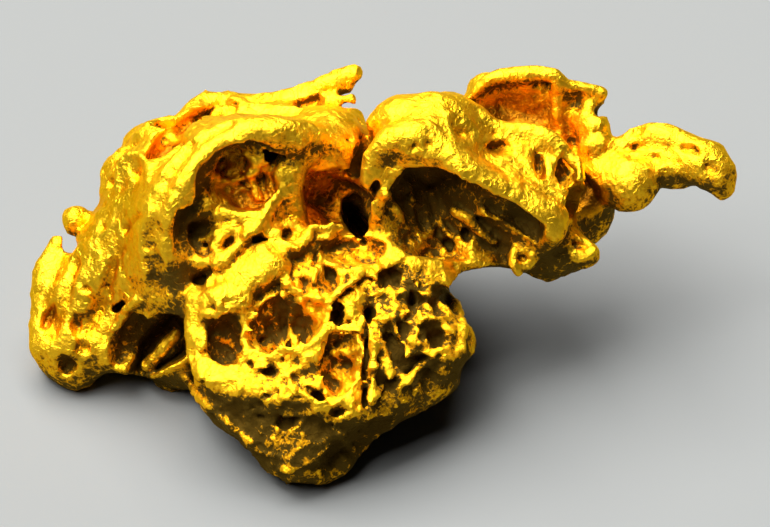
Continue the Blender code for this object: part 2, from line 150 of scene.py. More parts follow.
class Clay:
    def __init__(self, low, high, grain):
        self.grain = grain
        self.axes = [np.arange(a, b + grain, grain, dtype=np.float32) for a, b in zip(low, high)]
        self.field = np.full([len(axis) for axis in self.axes], FAR, np.float32)
        self.warp = None

    def set_warp(self, layers, seed):
        """Layers are (size, amount) pairs in mm."""
        drift = []
        for axis in range(3):
            layer = [amount * cloud(self.axes, size, seed + 10 * axis + n)
                     for n, (size, amount) in enumerate(layers)]
            drift.append(sum(layer))
        self.warp = np.stack(drift, -1)

    def patch(self, low, high):
        """The grid between two corners: how to cut it out, and its warped points."""
        cut = []
        for axis, a, b in zip(self.axes, low, high):
            first = int(np.clip(np.searchsorted(axis, a) - 1, 0, len(axis) - 1))
            last = int(np.clip(np.searchsorted(axis, b) + 1, first + 1, len(axis)))
            cut.append(slice(first, last))
        cut = tuple(cut)
        spans = [axis[part] for axis, part in zip(self.axes, cut)]
        points = np.stack(np.meshgrid(*spans, indexing="ij"), -1)
        return cut, points + self.warp[cut]

    def work(self, cut, distance, mode, blend):
        here = self.field[cut]
        if mode == "add":
            self.field[cut] = smooth_min(here, distance, blend)
        else:
            self.field[cut] = smooth_max(here, -distance, blend)

    def tell(self, step):
        metal = (self.field < 0).sum() * self.grain ** 3
        print(f"{step}: {metal:.0f} cubic mm of metal so far")


clay = Clay(LOW, HIGH, GRAIN)
clay.set_warp(((2.6, 0.13), (1.1, 0.08), (0.5, 0.05)), seed=7)
print("clay grid:", clay.field.shape)

# %% [markdown]
# Two solid tools come first. A lump is an ellipsoid, and a slab is a thick plate with rounded edges.
# The ellipsoid can also cut, and then it may be given facets: quartz left the nugget's hollows with
# flats and corners, so a seeded handful of planes shaves the oval.

# %% Lumps and slabs
FLATS = 11                       # planes that shave a hollow
facet_seeds = itertools.count(501)


def turned(turn):
    """Three axes, turned by one angle about w, or by three about u, v and w, in degrees."""
    a, b, c = np.radians(turn if np.ndim(turn) else (0, 0, turn))
    turn_u = np.array([[1, 0, 0], [0, np.cos(a), -np.sin(a)], [0, np.sin(a), np.cos(a)]])
    turn_v = np.array([[np.cos(b), 0, np.sin(b)], [0, 1, 0], [-np.sin(b), 0, np.cos(b)]])
    turn_w = np.array([[np.cos(c), -np.sin(c), 0], [np.sin(c), np.cos(c), 0], [0, 0, 1]])
    return turn_w @ turn_v @ turn_u


def oval(centre, radii, axes, mode, blend, margin=MARGIN, facets=0.0):
    """An ellipsoid whose three axes are the columns of `axes`; `facets` of 1 makes it all flats."""
    centre = np.array(centre, np.float32)
    radii = np.array(radii, np.float32)
    reach = np.sqrt((axes ** 2) @ (radii ** 2)) + margin
    cut, points = clay.patch(centre - reach, centre + reach)
    local = (points - centre) @ axes.astype(np.float32)
    scaled = np.linalg.norm(local / radii, axis=-1)
    if facets:
        flats = np.random.default_rng(next(facet_seeds)).normal(size=(FLATS, 3)).astype(np.float32)
        flats /= np.linalg.norm(flats, axis=1, keepdims=True)
        flat = (local / radii @ flats.T).max(-1)
        scaled = scaled * (1 - facets) + facets * 1.22 * np.maximum(flat, 0.6 * scaled)
    slope = np.linalg.norm(local / (radii * radii), axis=-1)
    distance = scaled * (scaled - 1) / np.maximum(slope, 1e-6)
    distance = np.where(scaled < 0.05, -radii.min(), distance)
    clay.work(cut, distance, mode, blend)


def lump(centre, radii, turn=0, blend=0.6):
    oval(centre, radii, turned(turn), "add", blend)


def slab(centre, half, turn=0, corner=0.8, blend=0.6):
    """A thick plate of three half sizes with rounded edges."""
    centre = np.array(centre, np.float32)
    half = np.array(half, np.float32)
    axes = turned(turn)
    reach = np.abs(axes) @ half + MARGIN
    cut, points = clay.patch(centre - reach, centre + reach)
    outside = np.abs((points - centre) @ axes.astype(np.float32)) - (half - corner)
    distance = np.linalg.norm(np.maximum(outside, 0), axis=-1)
    distance += np.minimum(outside.max(-1), 0) - corner
    clay.work(cut, distance, "add", blend)


print("turned by 90 degrees about w, the u axis becomes", turned(90)[:, 0].round(2))

# %% [markdown]
# A fold or a ridge is a strand: a chain of round cones along a smooth curve through a few given
# points, each with its own radius. The curve is a Catmull-Rom spline, which passes through every
# point it is given, so a ridge goes exactly where it is put. The same tool can cut a channel.

# %% Strands
def smooth_path(rows, spacing):
    """Catmull-Rom through (u, v, w, radius) rows, with a point about every `spacing` mm."""
    rows = np.array(rows, np.float32)
    if len(rows) < 3:
        return rows
    ends = np.vstack([2 * rows[0] - rows[1], rows, 2 * rows[-1] - rows[-2]])
    path = []
    for k in range(1, len(ends) - 2):
        before, here, there, after = ends[k - 1:k + 3]
        steps = max(1, int(np.ceil(np.linalg.norm(there[:3] - here[:3]) / spacing)))
        for t in np.arange(steps) / steps:
            bend = (2 * before - 5 * here + 4 * there - after) * t * t
            twist = (3 * here - before - 3 * there + after) * t ** 3
            path.append(0.5 * (2 * here + (there - before) * t + bend + twist))
    path.append(rows[-1])
    path = np.array(path, np.float32)
    path[:, 3] = np.maximum(path[:, 3], 0.05)
    return path


def strand(*rows, blend=0.3, mode="add", spacing=0.6):
    """Round cones along a smooth path through (u, v, w, radius) rows."""
    path = smooth_path(rows, spacing)
    reach = path[:, 3:] + MARGIN
    cut, points = clay.patch((path[:, :3] - reach).min(0), (path[:, :3] + reach).max(0))
    nearest = np.full(points.shape[:-1], FAR, np.float32)
    for start, end in zip(path[:-1], path[1:]):
        along = end[:3] - start[:3]
        length = max(float(along @ along), 1e-9)
        t = np.clip(((points - start[:3]) @ along) / length, 0, 1)
        gap = np.linalg.norm(points - (start[:3] + t[..., None] * along), axis=-1)
        nearest = np.minimum(nearest, gap - (start[3] + t * (end[3] - start[3])))
    clay.work(cut, nearest, mode, blend)


bend = smooth_path(((0, 0, 0, 1), (2, 1, 0, 1), (4, 0, 0, 1)), 0.6)
print("three rows make a path of", len(bend), "points")

# %% [markdown]
# ## The masses
# The big forms come first and follow the part's solid one for one, because the part is what
# collides, weighs and rests. The flange is a thin plate curled behind the hood. Its edge is folded
# forward, so it is a slab with a strand laid round three of its sides.

# %% The flange
slab((7.3, 6.2, -8.0), (3.3, 3.2, 1.0), (8, 0, -4), corner=0.9, blend=0.8)
lump((6.6, 3.4, -6.8), (3.2, 2.6, 2.2), blend=0.7)
strand((4.1, 7.2, -7.0, 0.5), (4.5, 8.5, -6.6, 0.45), (5.1, 9.3, -6.3, 0.45), (6.9, 9.55, -6.2, 0.45),
       (8.4, 9.45, -6.2, 0.42), (9.1, 9.0, -6.4, 0.36), (9.9, 8.85, -6.5, 0.36),
       (10.75, 8.55, -6.6, 0.34), (10.2, 7.9, -6.9, 0.3), blend=0.7)
strand((9.8, 7.9, -7.0, 0.35), (10.2, 7.1, -6.6, 0.6), (10.7, 6.0, -6.4, 0.85), (10.7, 4.6, -6.4, 0.85),
       blend=0.8)
strand((8.6, 9.0, -6.3, 0.3), (8.6, 8.0, -6.7, 0.34), (8.7, 6.8, -7.0, 0.36), (8.8, 5.8, -6.9, 0.3),
       blend=0.3)
strand((4.5, 8.4, -6.6, 0.35), (4.7, 7.6, -6.7, 0.4), (4.4, 6.9, -6.9, 0.4), blend=0.3)
lump((10.6, 6.95, -6.3), (0.65, 0.5, 0.7), blend=0.3)
lump((10.5, 5.9, -6.0), (0.75, 0.6, 0.7), blend=0.3)
lump((9.8, 3.0, -7.4), (1.7, 2.0, 1.3), blend=0.7)
clay.tell("flange")

# %% [markdown]
# The left lobe hangs lower than the rest and touches the ground, with a small knob standing off
# its upper edge. Overlapping lumps with a wide blend give its soft, rolled shape.

# %% The left lobe
lump((-15.4, -3.5, -7.2), (2.15, 2.7, 2.1), -10, blend=1.0)
lump((-14.2, -0.9, -7.2), (2.4, 3.3, 2.6), -22, blend=1.2)
lump((-12.5, 1.8, -6.6), (2.2, 3.0, 2.8), -20, blend=1.4)
lump((-13.2, 0.2, -5.9), (1.7, 2.4, 1.7), -20, blend=1.0)
strand((-16.5, 0.9, -7.4, 0.5), (-17.0, -0.6, -7.2, 0.7), (-17.2, -2.6, -6.9, 0.6),
       (-17.3, -4.2, -6.6, 0.5), blend=0.6)
lump((-15.45, 2.2, -8.0), (0.8, 0.75, 0.75), blend=0.2)
strand((-15.4, 1.7, -7.9, 0.35), (-15.5, 2.2, -8.1, 0.5), (-14.8, 2.3, -8.1, 0.55),
       (-14.0, 2.0, -7.8, 0.8), blend=0.3)
lump((-12.6, 4.4, -7.2), (1.7, 1.7, 2.0), blend=0.9)
lump((-12.0, 6.0, -8.2), (1.2, 1.05, 1.6), blend=0.5)
lump((-12.55, 4.75, -5.5), (1.1, 0.95, 1.1), 20, blend=0.25)
lump((-11.8, 6.35, -6.6), (0.9, 0.65, 1.0), 15, blend=0.25)
lump((-11.9, -4.2, -6.4), (2.8, 1.5, 1.9), 5, blend=0.9)
lump((-15.9, -4.6, -7.7), (1.3, 1.6, 1.5), blend=0.8)
lump((-10.2, -5.25, -6.6), (1.3, 0.9, 1.3), -15, blend=0.5)
clay.tell("left lobe")

# %% [markdown]
# The crest is the long back edge, and it ends in a spur that forks like a snapped twig. A path that
# thickens and thins follows it from end to end, which a row of lumps would turn into beads. The
# wide lumps under it are the nugget's core, which every other form leans on.

# %% The back crest, its forked spur and the core
lump((-9.0, 5.0, -7.0), (3.2, 2.9, 3.4), blend=1.4)
lump((-4.6, 5.9, -7.0), (4.2, 2.2, 3.2), blend=1.2)
lump((-2.6, 5.5, -5.4), (1.9, 2.2, 3.0), blend=1.0)
strand((-10.4, 6.2, -8.4, 0.9), (-9.7, 7.5, -8.6, 0.8), (-8.4, 8.0, -8.8, 0.72),
       (-6.6, 7.85, -8.6, 0.7), (-4.8, 8.0, -8.2, 0.8), (-3.4, 8.7, -7.8, 0.65), (-2.4, 9.3, -7.6, 0.5),
       (-1.5, 9.55, -7.5, 0.4), blend=0.6)
strand((-7.6, 7.9, -7.6, 0.5), (-6.4, 7.4, -7.0, 0.5), (-4.9, 7.1, -6.6, 0.6), (-3.4, 7.3, -6.6, 0.55),
       (-1.5, 7.4, -6.7, 0.35), blend=0.5)
slab((-3.2, 8.55, -7.7), (1.7, 0.5, 0.45), 24, corner=0.35, blend=0.3)
strand((-3.8, 7.9, -7.3, 0.45), (-2.6, 8.15, -7.2, 0.34), (-1.7, 8.2, -7.1, 0.28), blend=0.25)
lump((-6.0, 1.0, -7.6), (6.2, 5.0, 4.2), blend=1.2)
lump((0.4, 2.2, -7.8), (4.2, 3.6, 3.6), blend=1.2)
lump((-11.0, -1.2, -5.8), (2.6, 3.8, 3.0), blend=1.4)
lump((-11.2, 2.0, -4.6), (1.8, 4.0, 3.4), blend=1.4)
lump((-7.4, 3.4, -4.8), (3.6, 3.4, 2.8), blend=1.0)
lump((-6.8, 6.0, -3.6), (3.4, 1.3, 2.6), -5, blend=1.0)
lump((0.5, 0.0, -10.9), (2.6, 2.4, 2.5), blend=1.4)
clay.tell("crest and core")

# %% [markdown]
# The far side faces the ground and away from you. Metal that lay against rock is rounded and dull
# of form there, so it gets three domes and two long folds, and later its own hollows and dents.

# %% The hidden back
lump((-8.8, 4.4, -10.0), (2.4, 2.0, 1.9), 15, blend=0.9)
lump((-2.6, 5.2, -9.8), (2.6, 1.9, 1.8), -10, blend=0.9)
lump((2.6, 4.6, -7.6), (1.9, 1.9, 2.0), blend=0.8)
strand((-13.2, 3.0, -8.8, 0.8), (-11.2, 1.8, -10.4, 1.0), (-8.0, 1.0, -11.6, 1.1),
       (-4.6, 1.2, -12.1, 1.1), (-1.6, 1.2, -12.2, 1.0), (0.8, 2.6, -11.6, 0.9), (2.6, 4.2, -9.8, 0.8),
       blend=0.9)
strand((-15.6, -4.0, -9.0, 0.6), (-14.8, -2.0, -9.7, 0.8), (-13.6, 0.6, -9.7, 0.8),
       (-12.6, 3.0, -9.4, 0.7), (-11.2, 5.2, -9.6, 0.7), blend=0.7)
clay.tell("back")

# %% [markdown]
# The broad face is the flat, torn side of the nugget, and the foot below it is one of the three
# places that the nugget lies on. Two slabs, tipped toward each other, give the face its faint ridge
# down the middle, which one slab would leave flat.

# %% The broad face and the foot below it
slab((-3.6, -2.6, -3.6), (5.8, 4.4, 2.7), (-19, 0, 0), corner=2.4, blend=1.2)
slab((0.9, -2.7, -4.0), (3.2, 4.2, 3.0), (-19, 14, 6), corner=2.4, blend=1.0)
lump((-3.6, -5.5, -2.3), (5.8, 4.1, 3.1), 8, blend=1.2)
lump((-3.9, -8.5, -1.9), (2.8, 2.65, 2.3), 10, blend=1.2)
lump((1.6, -6.5, -2.6), (1.6, 0.9, 1.4), 15, blend=0.6)
clay.tell("broad face")

# %% [markdown]
# The hood is a wide sheet that slopes up to its far edge and hangs over a hollow. The slab gives
# the sheet. The slab below it is the inner wall that the hollow is later cut into.

# %% The hood
lump((2.2, 5.6, -3.3), (2.6, 2.7, 2.6), blend=0.9)
lump((0.3, 4.0, -3.8), (1.3, 2.7, 2.4), 8, blend=0.8)
lump((1.0, 7.3, -3.6), (1.9, 1.05, 1.6), 8, blend=0.5)
slab((5.4, 4.6, -3.6), (4.6, 2.5, 1.5), (-44, 0, -33), corner=1.2, blend=1.0)
slab((3.4, 2.6, -5.6), (4.0, 3.0, 1.9), (-10, 0, -24), corner=1.5, blend=1.0)
lump((7.4, 0.9, -5.6), (3.2, 1.5, 2.0), -6, blend=0.8)
clay.tell("hood")

# %% [markdown]
# The arm is a flattened finger of metal at the right end, bent down at the tip. A strand makes its
# back and four lumps its root, belly and tip, because a round strand alone would look like wire.

# %% The arm and its drooping end
lump((12.3, 4.1, -5.7), (1.6, 1.5, 1.3), -15, blend=0.7)
strand((11.8, 5.8, -6.4, 0.5), (12.9, 6.3, -6.2, 0.6), (14.0, 6.35, -5.9, 0.6), (15.2, 6.0, -5.7, 0.7),
       blend=0.4)
lump((14.3, 4.85, -6.1), (1.6, 1.25, 0.95), -5, blend=0.4)
lump((16.0, 4.9, -5.6), (1.6, 1.3, 1.1), -38, blend=0.5)
lump((16.8, 3.95, -5.6), (0.7, 0.85, 0.75), 15, blend=0.3)
clay.tell("arm")

# %% [markdown]
# Rims catch the light first, so each has a strand of its own: the rim that curls over the bowl, the
# hood's brow and its far edge, a short fold at its right end, and the ledge round the broad face.

# %% The rims
strand((-10.4, -1.8, -2.8, 0.9), (-10.7, 0.2, -2.1, 1.2), (-10.6, 2.4, -1.4, 1.4),
       (-9.9, 4.1, -1.0, 1.35), (-8.8, 5.45, -0.9, 1.15), (-7.5, 6.15, -0.9, 0.95),
       (-6.0, 6.5, -0.9, 0.85), (-4.9, 6.4, -1.3, 0.8), (-4.0, 6.3, -2.0, 0.75), (-3.1, 6.1, -2.8, 0.6),
       blend=1.2)
strand((-0.6, 1.8, -2.6, 0.3), (-0.9, 3.2, -2.0, 0.4), (-0.7, 4.8, -1.5, 0.5), (0.1, 6.0, -1.3, 0.7),
       (1.3, 6.3, -1.1, 0.9), (2.5, 5.9, -1.0, 0.8), (3.9, 4.6, -1.1, 0.7), (5.4, 3.7, -1.4, 0.7),
       (6.8, 2.9, -1.8, 0.75), (8.1, 1.8, -2.4, 0.6), blend=0.8)
strand((3.9, 7.4, -3.4, 0.5), (5.3, 6.75, -3.7, 0.5), (6.75, 6.5, -3.9, 0.5), (8.0, 6.1, -3.9, 0.5),
       (9.0, 5.4, -3.8, 0.5), (9.5, 4.7, -3.7, 0.45), (9.7, 4.1, -3.6, 0.35), blend=0.5)
strand((9.5, 4.4, -3.5, 0.3), (9.3, 3.2, -3.2, 0.3), (8.9, 2.3, -2.9, 0.35), (8.3, 1.7, -2.6, 0.5),
       blend=0.4)
strand((-9.3, -2.0, -1.6, 0.6), (-9.4, -4.0, -1.2, 0.65), (-8.7, -5.6, -0.6, 0.65),
       (-7.2, -6.3, -0.1, 0.65), (-5.6, -6.6, 0.3, 0.7), (-4.2, -6.5, 0.5, 0.8),
       (-2.4, -7.0, 0.3, 0.75), (-0.8, -7.3, -0.3, 0.65), (0.5, -6.6, -0.9, 0.55), blend=0.6)
clay.tell("rims")

# %% [markdown]
# ## The great hollows
# Quartz once filled these. They are what makes the nugget look like a sponge of metal and not a
# pebble, and they are in the part's solid too. Cutting comes after joining, because a lump added
# later would close them again.

# %% Hollows of the show side
def hollow(centre, radii, turn=0, blend=0.25, facets=0.75):
    oval(centre, radii, turned(turn), "cut", blend, facets=facets)


hollow((-6.9, 3.35, -0.3), (3.0, 2.75, 1.7), -20, blend=0.2)
hollow((-8.9, 1.0, -0.5), (1.25, 2.3, 1.4), 10, blend=0.2)
hollow((-2.7, 3.1, -2.6), (1.9, 1.9, 3.6), 20, blend=0.2)
hollow((-1.4, 2.1, -5.4), (0.62, 1.4, 4.0), 33, blend=0.3)
hollow((2.6, 2.5, -1.6), (3.1, 2.35, 2.7), -30, blend=0.15)
hollow((5.6, 0.9, -1.8), (3.0, 1.4, 2.5), -28, blend=0.15)
hollow((-12.55, -3.75, -4.6), (2.4, 0.95, 1.7), 60, blend=0.12)
hollow((-11.2, -3.9, -4.2), (2.3, 1.4, 2.6), 60, blend=0.2)
clay.tell("show side hollowed")

# %% [markdown]
# Small forms are placed on the face and not in space: the tool first feels for the surface at
# (u, v) and then works there, as a thumb would. That way a pit keeps its depth when the form under
# it moves.

# %% Pits and knobs on the face
PIT_MARGIN = 0.6                 # mm of field worked round a pit or a knob


def face(u, v):
    """How far out the clay comes at (u, v), seen from the show side."""
    i, j = (int(np.clip(round((place - axis[0]) / clay.grain), 0, len(axis) - 1))
            for place, axis in zip((u, v), clay.axes))
    column = clay.field[i, j]
    inside = np.flatnonzero(column < 0)
    if len(inside) == 0:
        return None
    k = inside[-1]
    a, b = column[k], column[min(k + 1, len(column) - 1)]
    part = a / (a - b) if b > a else 0.0
    return float(clay.axes[2][k] + clay.grain * part)


def pit(u, v, half_wide, half_high, deep, turn=0.0, blend=0.15):
    w = face(u, v)
    if w is None:
        return
    half_deep = max(deep, 0.5 * (half_wide + half_high))
    radii = (half_wide, half_high, half_deep)
    oval((u, v, w - deep + half_deep), radii, turned(turn), "cut", blend, PIT_MARGIN, facets=0.75)


def knob(u, v, half_wide, half_high, rise, turn=0.0, blend=0.25):
    w = face(u, v)
    if w is None:
        return
    half_deep = max(rise, 0.5 * (half_wide + half_high))
    radii = (half_wide, half_high, half_deep)
    oval((u, v, w + rise - half_deep), radii, turned(turn), "add", blend, PIT_MARGIN)


print("the face at the middle is at w =", round(face(0.0, 0.0), 2), "mm")

# %% [markdown]
# A ridge or a groove feels its way along the face: the path is stepped through, the surface is felt
# for at every step, and the strand is laid through the places found. So a ridge climbs over what is
# already there and never floats above a pit or sinks out of sight.

# %% Ridges and grooves on the face
def on_face(rows, lift):
    """Follows the skin between (u, v, radius) points, a step of 0.2 mm at a time."""
    placed = []
    for u, v, _, radius in smooth_path([(u, v, 0.0, radius) for u, v, radius in rows], 0.2):
        w = face(u, v)
        if w is not None:
            placed.append((u, v, w + lift, radius))
    return placed


def ridge(*rows, lift=0.05, blend=0.2):
    """A ridge laid on the face through (u, v, radius) points."""
    placed = on_face(rows, lift)
    if len(placed) > 1:
        strand(*placed, blend=blend, spacing=0.4)


def groove(*rows, sink=0.1, blend=0.12):
    """A groove scored in the face through (u, v, radius) points."""
    placed = on_face(rows, -sink)
    if len(placed) > 1:
        strand(*placed, blend=blend, mode="cut", spacing=0.4)


trial = on_face(((-2.0, 0.0, 0.2), (0.0, 0.5, 0.2), (2.0, 0.0, 0.2)), 0.0)
print("a path of 4 mm across the face is felt at", len(trial), "places")

# %% [markdown]
# The foot is dented at its right by one broad, shallow hollow. A few knobs and two low ridges stand
# to the left of it, where the metal was pushed aside and not worn away.

# %% The dented foot
hollow((-1.2, -9.2, -0.4), (2.4, 0.9, 1.4), 30, blend=0.6, facets=0.0)
knob(-4.75, -10.2, 0.42, 0.34, 0.22, 10)
knob(-3.5, -10.45, 0.3, 0.3, 0.2)
knob(-2.0, -9.8, 0.32, 0.26, 0.2, 30)
knob(-5.7, -9.9, 0.26, 0.34, 0.18, -20)
ridge((-9.6, -6.6, 0.18), (-8.6, -7.6, 0.2), (-7.2, -8.4, 0.2), (-6.2, -9.3, 0.2), lift=0.1)
ridge((-2.9, -7.9, 0.16), (-2.2, -8.6, 0.18), (-1.6, -9.3, 0.16), lift=0.08)
clay.tell("foot")

# %% [markdown]
# Three more cuts shape the outline itself: the bay under the hood, the slope at the right of the
# foot, and the gap between the left lobe and its knob.

# %% Bays of the outline
hollow((5.0, -1.75, -5.0), (1.95, 1.85, 4.2), blend=0.3)
hollow((4.75, -5.6, -3.5), (1.25, 1.15, 4.5), blend=0.3)
hollow((-15.9, 0.95, -7.6), (0.45, 0.35, 3.0), -20, blend=0.15)
clay.tell("outline")

# %% [markdown]
# The far side was against rock as well, so it has hollows of the same make, wide and soft. Behind
# the flange two lumps, and a third at its upper edge, keep the plate whole, because hollows from both
# sides would otherwise meet.

# %% Hollows of the far side
hollow((-5.6, 3.4, -12.2), (2.2, 1.4, 2.3), 6, blend=0.35)
hollow((-0.4, 3.2, -12.4), (1.3, 1.1, 2.0), blend=0.35)
hollow((-10.9, 3.4, -11.4), (1.1, 1.2, 1.8), blend=0.35)
hollow((-6.2, -1.6, -12.6), (2.8, 1.1, 2.2), 4, blend=0.4)
hollow((-11.6, -0.6, -11.2), (1.3, 1.2, 1.7), 30, blend=0.4)
hollow((-9.0, -3.6, -9.8), (2.2, 1.2, 2.0), (20, 0, 10), blend=0.5)
hollow((-3.4, -4.6, -9.6), (2.6, 1.4, 2.6), (25, 0, 0), blend=0.5)
hollow((7.2, 7.0, -10.8), (1.9, 1.5, 2.1), 10, blend=0.35)
hollow((5.4, 10.0, -9.3), (1.1, 0.8, 1.1), (30, 0, 20), blend=0.4)
hollow((8.9, 9.9, -9.4), (1.1, 0.7, 1.0), (30, 0, -25), blend=0.4)
hollow((11.2, 7.4, -9.3), (0.8, 1.1, 1.0), (0, 30, 0), blend=0.4)
lump((8.9, 5.6, -8.8), (1.2, 1.5, 0.7), 25, blend=0.5)
lump((5.5, 7.4, -8.9), (0.9, 1.2, 0.6), -20, blend=0.5)
lump((7.6, 9.0, -7.2), (1.0, 0.5, 0.55), -20, blend=0.4)
hollow((4.8, 2.2, -9.4), (1.5, 1.3, 2.0), blend=0.35)
hollow((-14.4, 1.2, -11.2), (0.9, 1.5, 1.6), -20, blend=0.3)
clay.tell("far side hollowed")

# %% [markdown]
# ## Inside the curled rim
# The rim curls over a bowl like the shell of an ear. A thin wall with a slit on either side stands
# at the back of the bowl, a lip closes its lower edge, and a second, narrower pocket opens to the
# left.

# %% The bowl behind the curled rim
lump((-7.2, 1.1, -3.0), (3.2, 1.6, 1.55), 8, blend=0.5)
lump((-6.9, 3.6, -4.3), (2.8, 2.6, 2.2), blend=0.4)
hollow((-7.6, 5.0, -1.9), (0.95, 0.95, 0.55), 15, blend=0.12)
hollow((-7.1, 3.5, -1.9), (1.35, 0.95, 0.8), blend=0.15)
hollow((-5.5, 5.45, -1.9), (0.9, 0.6, 1.0), -10, blend=0.12)
hollow((-9.15, 1.5, -1.6), (0.7, 1.0, 1.0), 5, blend=0.12)
hollow((-7.75, 0.95, -1.3), (0.45, 0.5, 0.8), blend=0.1)
strand((-6.5, 5.7, -1.9, 0.26), (-6.7, 4.9, -2.0, 0.24), (-6.7, 4.2, -2.2, 0.26),
       (-6.4, 3.4, -2.4, 0.3), blend=0.2)
strand((-7.1, 4.7, -2.5, 0.15), (-7.1, 4.0, -2.6, 0.15), blend=0.1, mode="cut")
strand((-6.3, 4.8, -2.4, 0.14), (-6.3, 4.1, -2.6, 0.14), blend=0.1, mode="cut")
strand((-4.0, 5.9, -2.2, 0.6), (-4.7, 5.0, -2.2, 0.75), (-5.0, 4.1, -2.4, 0.8), (-4.8, 3.1, -2.8, 0.8),
       (-4.6, 2.0, -3.2, 0.8), blend=0.3)
lump((-9.3, 3.9, -2.2), (0.6, 0.8, 0.8), blend=0.3)
lump((-9.2, 2.7, -2.2), (0.8, 0.5, 0.8), 20, blend=0.3)
strand((-8.4, 2.6, -2.5, 0.5), (-7.6, 2.1, -2.2, 0.5), (-6.6, 2.1, -2.1, 0.5), (-5.6, 2.6, -2.4, 0.5),
       blend=0.4)
strand((-8.5, 2.75, -2.1, 0.28), (-7.9, 2.4, -1.8, 0.26), (-7.0, 2.25, -1.6, 0.26),
       (-6.1, 2.6, -1.7, 0.26), (-5.6, 3.2, -1.9, 0.3), blend=0.2)
strand((-9.8, 1.35, -2.6, 0.25), (-9.1, 1.2, -2.4, 0.28), (-8.5, 1.35, -2.1, 0.25), blend=0.2)
clay.tell("bowl")

# %% [markdown]
# Between the bowl and the broad face thin ridges cross like roots. They are strands in space and
# not on the face, because they bridge the small holes that are cut beside them. The last two cuts
# are the cleft that parts the rim from the hood.

# %% The crossing ridges and the cleft
strand((-10.4, 0.5, -2.0, 0.4), (-9.9, 0.1, -1.7, 0.4), (-9.2, 0.0, -1.5, 0.4),
       (-8.5, 0.15, -1.4, 0.36), (-8.25, 1.0, -1.5, 0.32), (-7.5, 1.8, -1.7, 0.3), blend=0.25)
strand((-8.2, -0.1, -1.1, 0.38), (-7.25, 1.05, -1.3, 0.36), (-6.4, 1.95, -1.5, 0.34),
       (-5.9, 2.6, -1.8, 0.34), (-5.5, 3.2, -2.0, 0.35), blend=0.25)
strand((-5.7, 1.9, -2.0, 0.32), (-4.9, 0.8, -1.6, 0.34), (-4.1, 1.1, -1.7, 0.32),
       (-3.65, 1.75, -1.9, 0.28), (-3.0, 1.85, -2.0, 0.24), (-2.2, 1.85, -2.2, 0.2), blend=0.25)
lump((-3.4, 1.2, -2.8), (1.3, 0.8, 1.0), blend=0.3)
hollow((-6.15, 1.0, -1.6), (0.5, 0.5, 0.8), blend=0.12)
hollow((-4.9, 1.6, -1.9), (0.4, 0.35, 0.8), blend=0.12)
hollow((-2.6, 0.75, -1.5), (0.75, 0.5, 0.9), -10, blend=0.12)
hollow((-3.5, 0.3, -1.3), (0.35, 0.6, 0.7), -15, blend=0.12)
strand((-0.65, 7.0, -2.7, 0.3), (-0.9, 6.2, -2.9, 0.5), (-1.2, 5.4, -3.2, 0.6), (-1.6, 4.5, -3.5, 0.7),
       blend=0.12, mode="cut")
strand((-0.8, 6.7, -3.5, 0.35), (-1.1, 5.8, -4.0, 0.5), (-1.5, 4.8, -4.4, 0.65), blend=0.12, mode="cut")
clay.tell("crossing ridges")

# %% [markdown]
# ## The broad face
# Under the bowl a tongue of metal hangs between two rims, and below it lie three deep pits with
# thin walls, a long slit and a ledge. They are what the eye reads first, so they are placed one by
# one. The tongue goes on before the pits are cut, because the first pit undercuts its tip.

# %% The tongue and the three pits
slab((-6.9, -0.8, -1.5), (2.1, 1.15, 0.85), (-26, 0, 36), corner=0.7, blend=0.3)
lump((-7.9, -2.1, -0.9), (1.5, 1.15, 0.9), 20, blend=0.3)
hollow((-7.8, -4.15, -0.5), (1.3, 1.15, 1.6), -20, blend=0.1)
hollow((-4.8, -3.45, -0.4), (1.45, 1.5, 1.6), 10, blend=0.1)
hollow((-2.3, -4.85, 0.5), (1.2, 1.65, 1.0), 5, blend=0.12, facets=0.4)
hollow((-4.1, -3.7, -0.8), (0.5, 1.05, 1.2), 5, blend=0.12)
hollow((-3.5, -2.4, 0.2), (0.8, 1.1, 0.85), 12, blend=0.25, facets=0.2)
hollow((-2.3, -2.75, -0.6), (0.45, 0.65, 1.2), -15, blend=0.1)
hollow((-0.9, -2.6, -0.7), (0.35, 0.6, 1.1), blend=0.1)
clay.tell("pits")

# %% [markdown]
# The walls between the pits stand up as thin, rounded rims. Each is a strand along the pit's edge,
# and short ridges inside the pits are what is left of thinner walls.

# %% The walls between the pits
strand((-6.9, -3.4, -0.5, 0.22), (-6.75, -4.3, -0.1, 0.25), (-6.3, -5.0, 0.2, 0.28),
       (-5.2, -5.3, 0.5, 0.3), (-4.1, -5.3, 0.6, 0.3), (-3.4, -4.5, 0.4, 0.26),
       (-3.05, -3.8, 0.2, 0.24), (-2.9, -3.0, 0.0, 0.24), blend=0.15)
strand((-9.0, -2.0, -1.0, 0.22), (-9.1, -3.6, -0.7, 0.22), (-8.75, -4.9, -0.4, 0.22),
       (-7.8, -5.45, -0.1, 0.2), (-6.7, -5.6, 0.2, 0.2), blend=0.15)
strand((-0.62, -3.1, 0.3, 0.26), (-0.56, -4.2, 0.6, 0.28), (-0.54, -5.4, 0.7, 0.3),
       (-0.6, -6.9, 0.55, 0.28), blend=0.15)
strand((-1.75, -2.2, -0.2, 0.24), (-1.65, -2.9, 0.0, 0.26), (-1.6, -3.4, 0.0, 0.2), blend=0.12)
strand((-5.2, -0.5, -1.0, 0.2), (-4.75, -1.6, -0.7, 0.22), (-3.7, -1.1, -0.8, 0.2),
       (-3.2, -0.3, -1.1, 0.18), blend=0.15)
strand((-3.5, -1.95, -0.4, 0.2), (-2.6, -1.6, -0.5, 0.22), (-1.8, -1.1, -0.8, 0.2),
       (-1.2, -0.2, -1.1, 0.2), blend=0.15)
ridge((-5.8, -2.4, 0.15), (-5.5, -3.1, 0.16), (-5.1, -3.8, 0.15), lift=0.1)
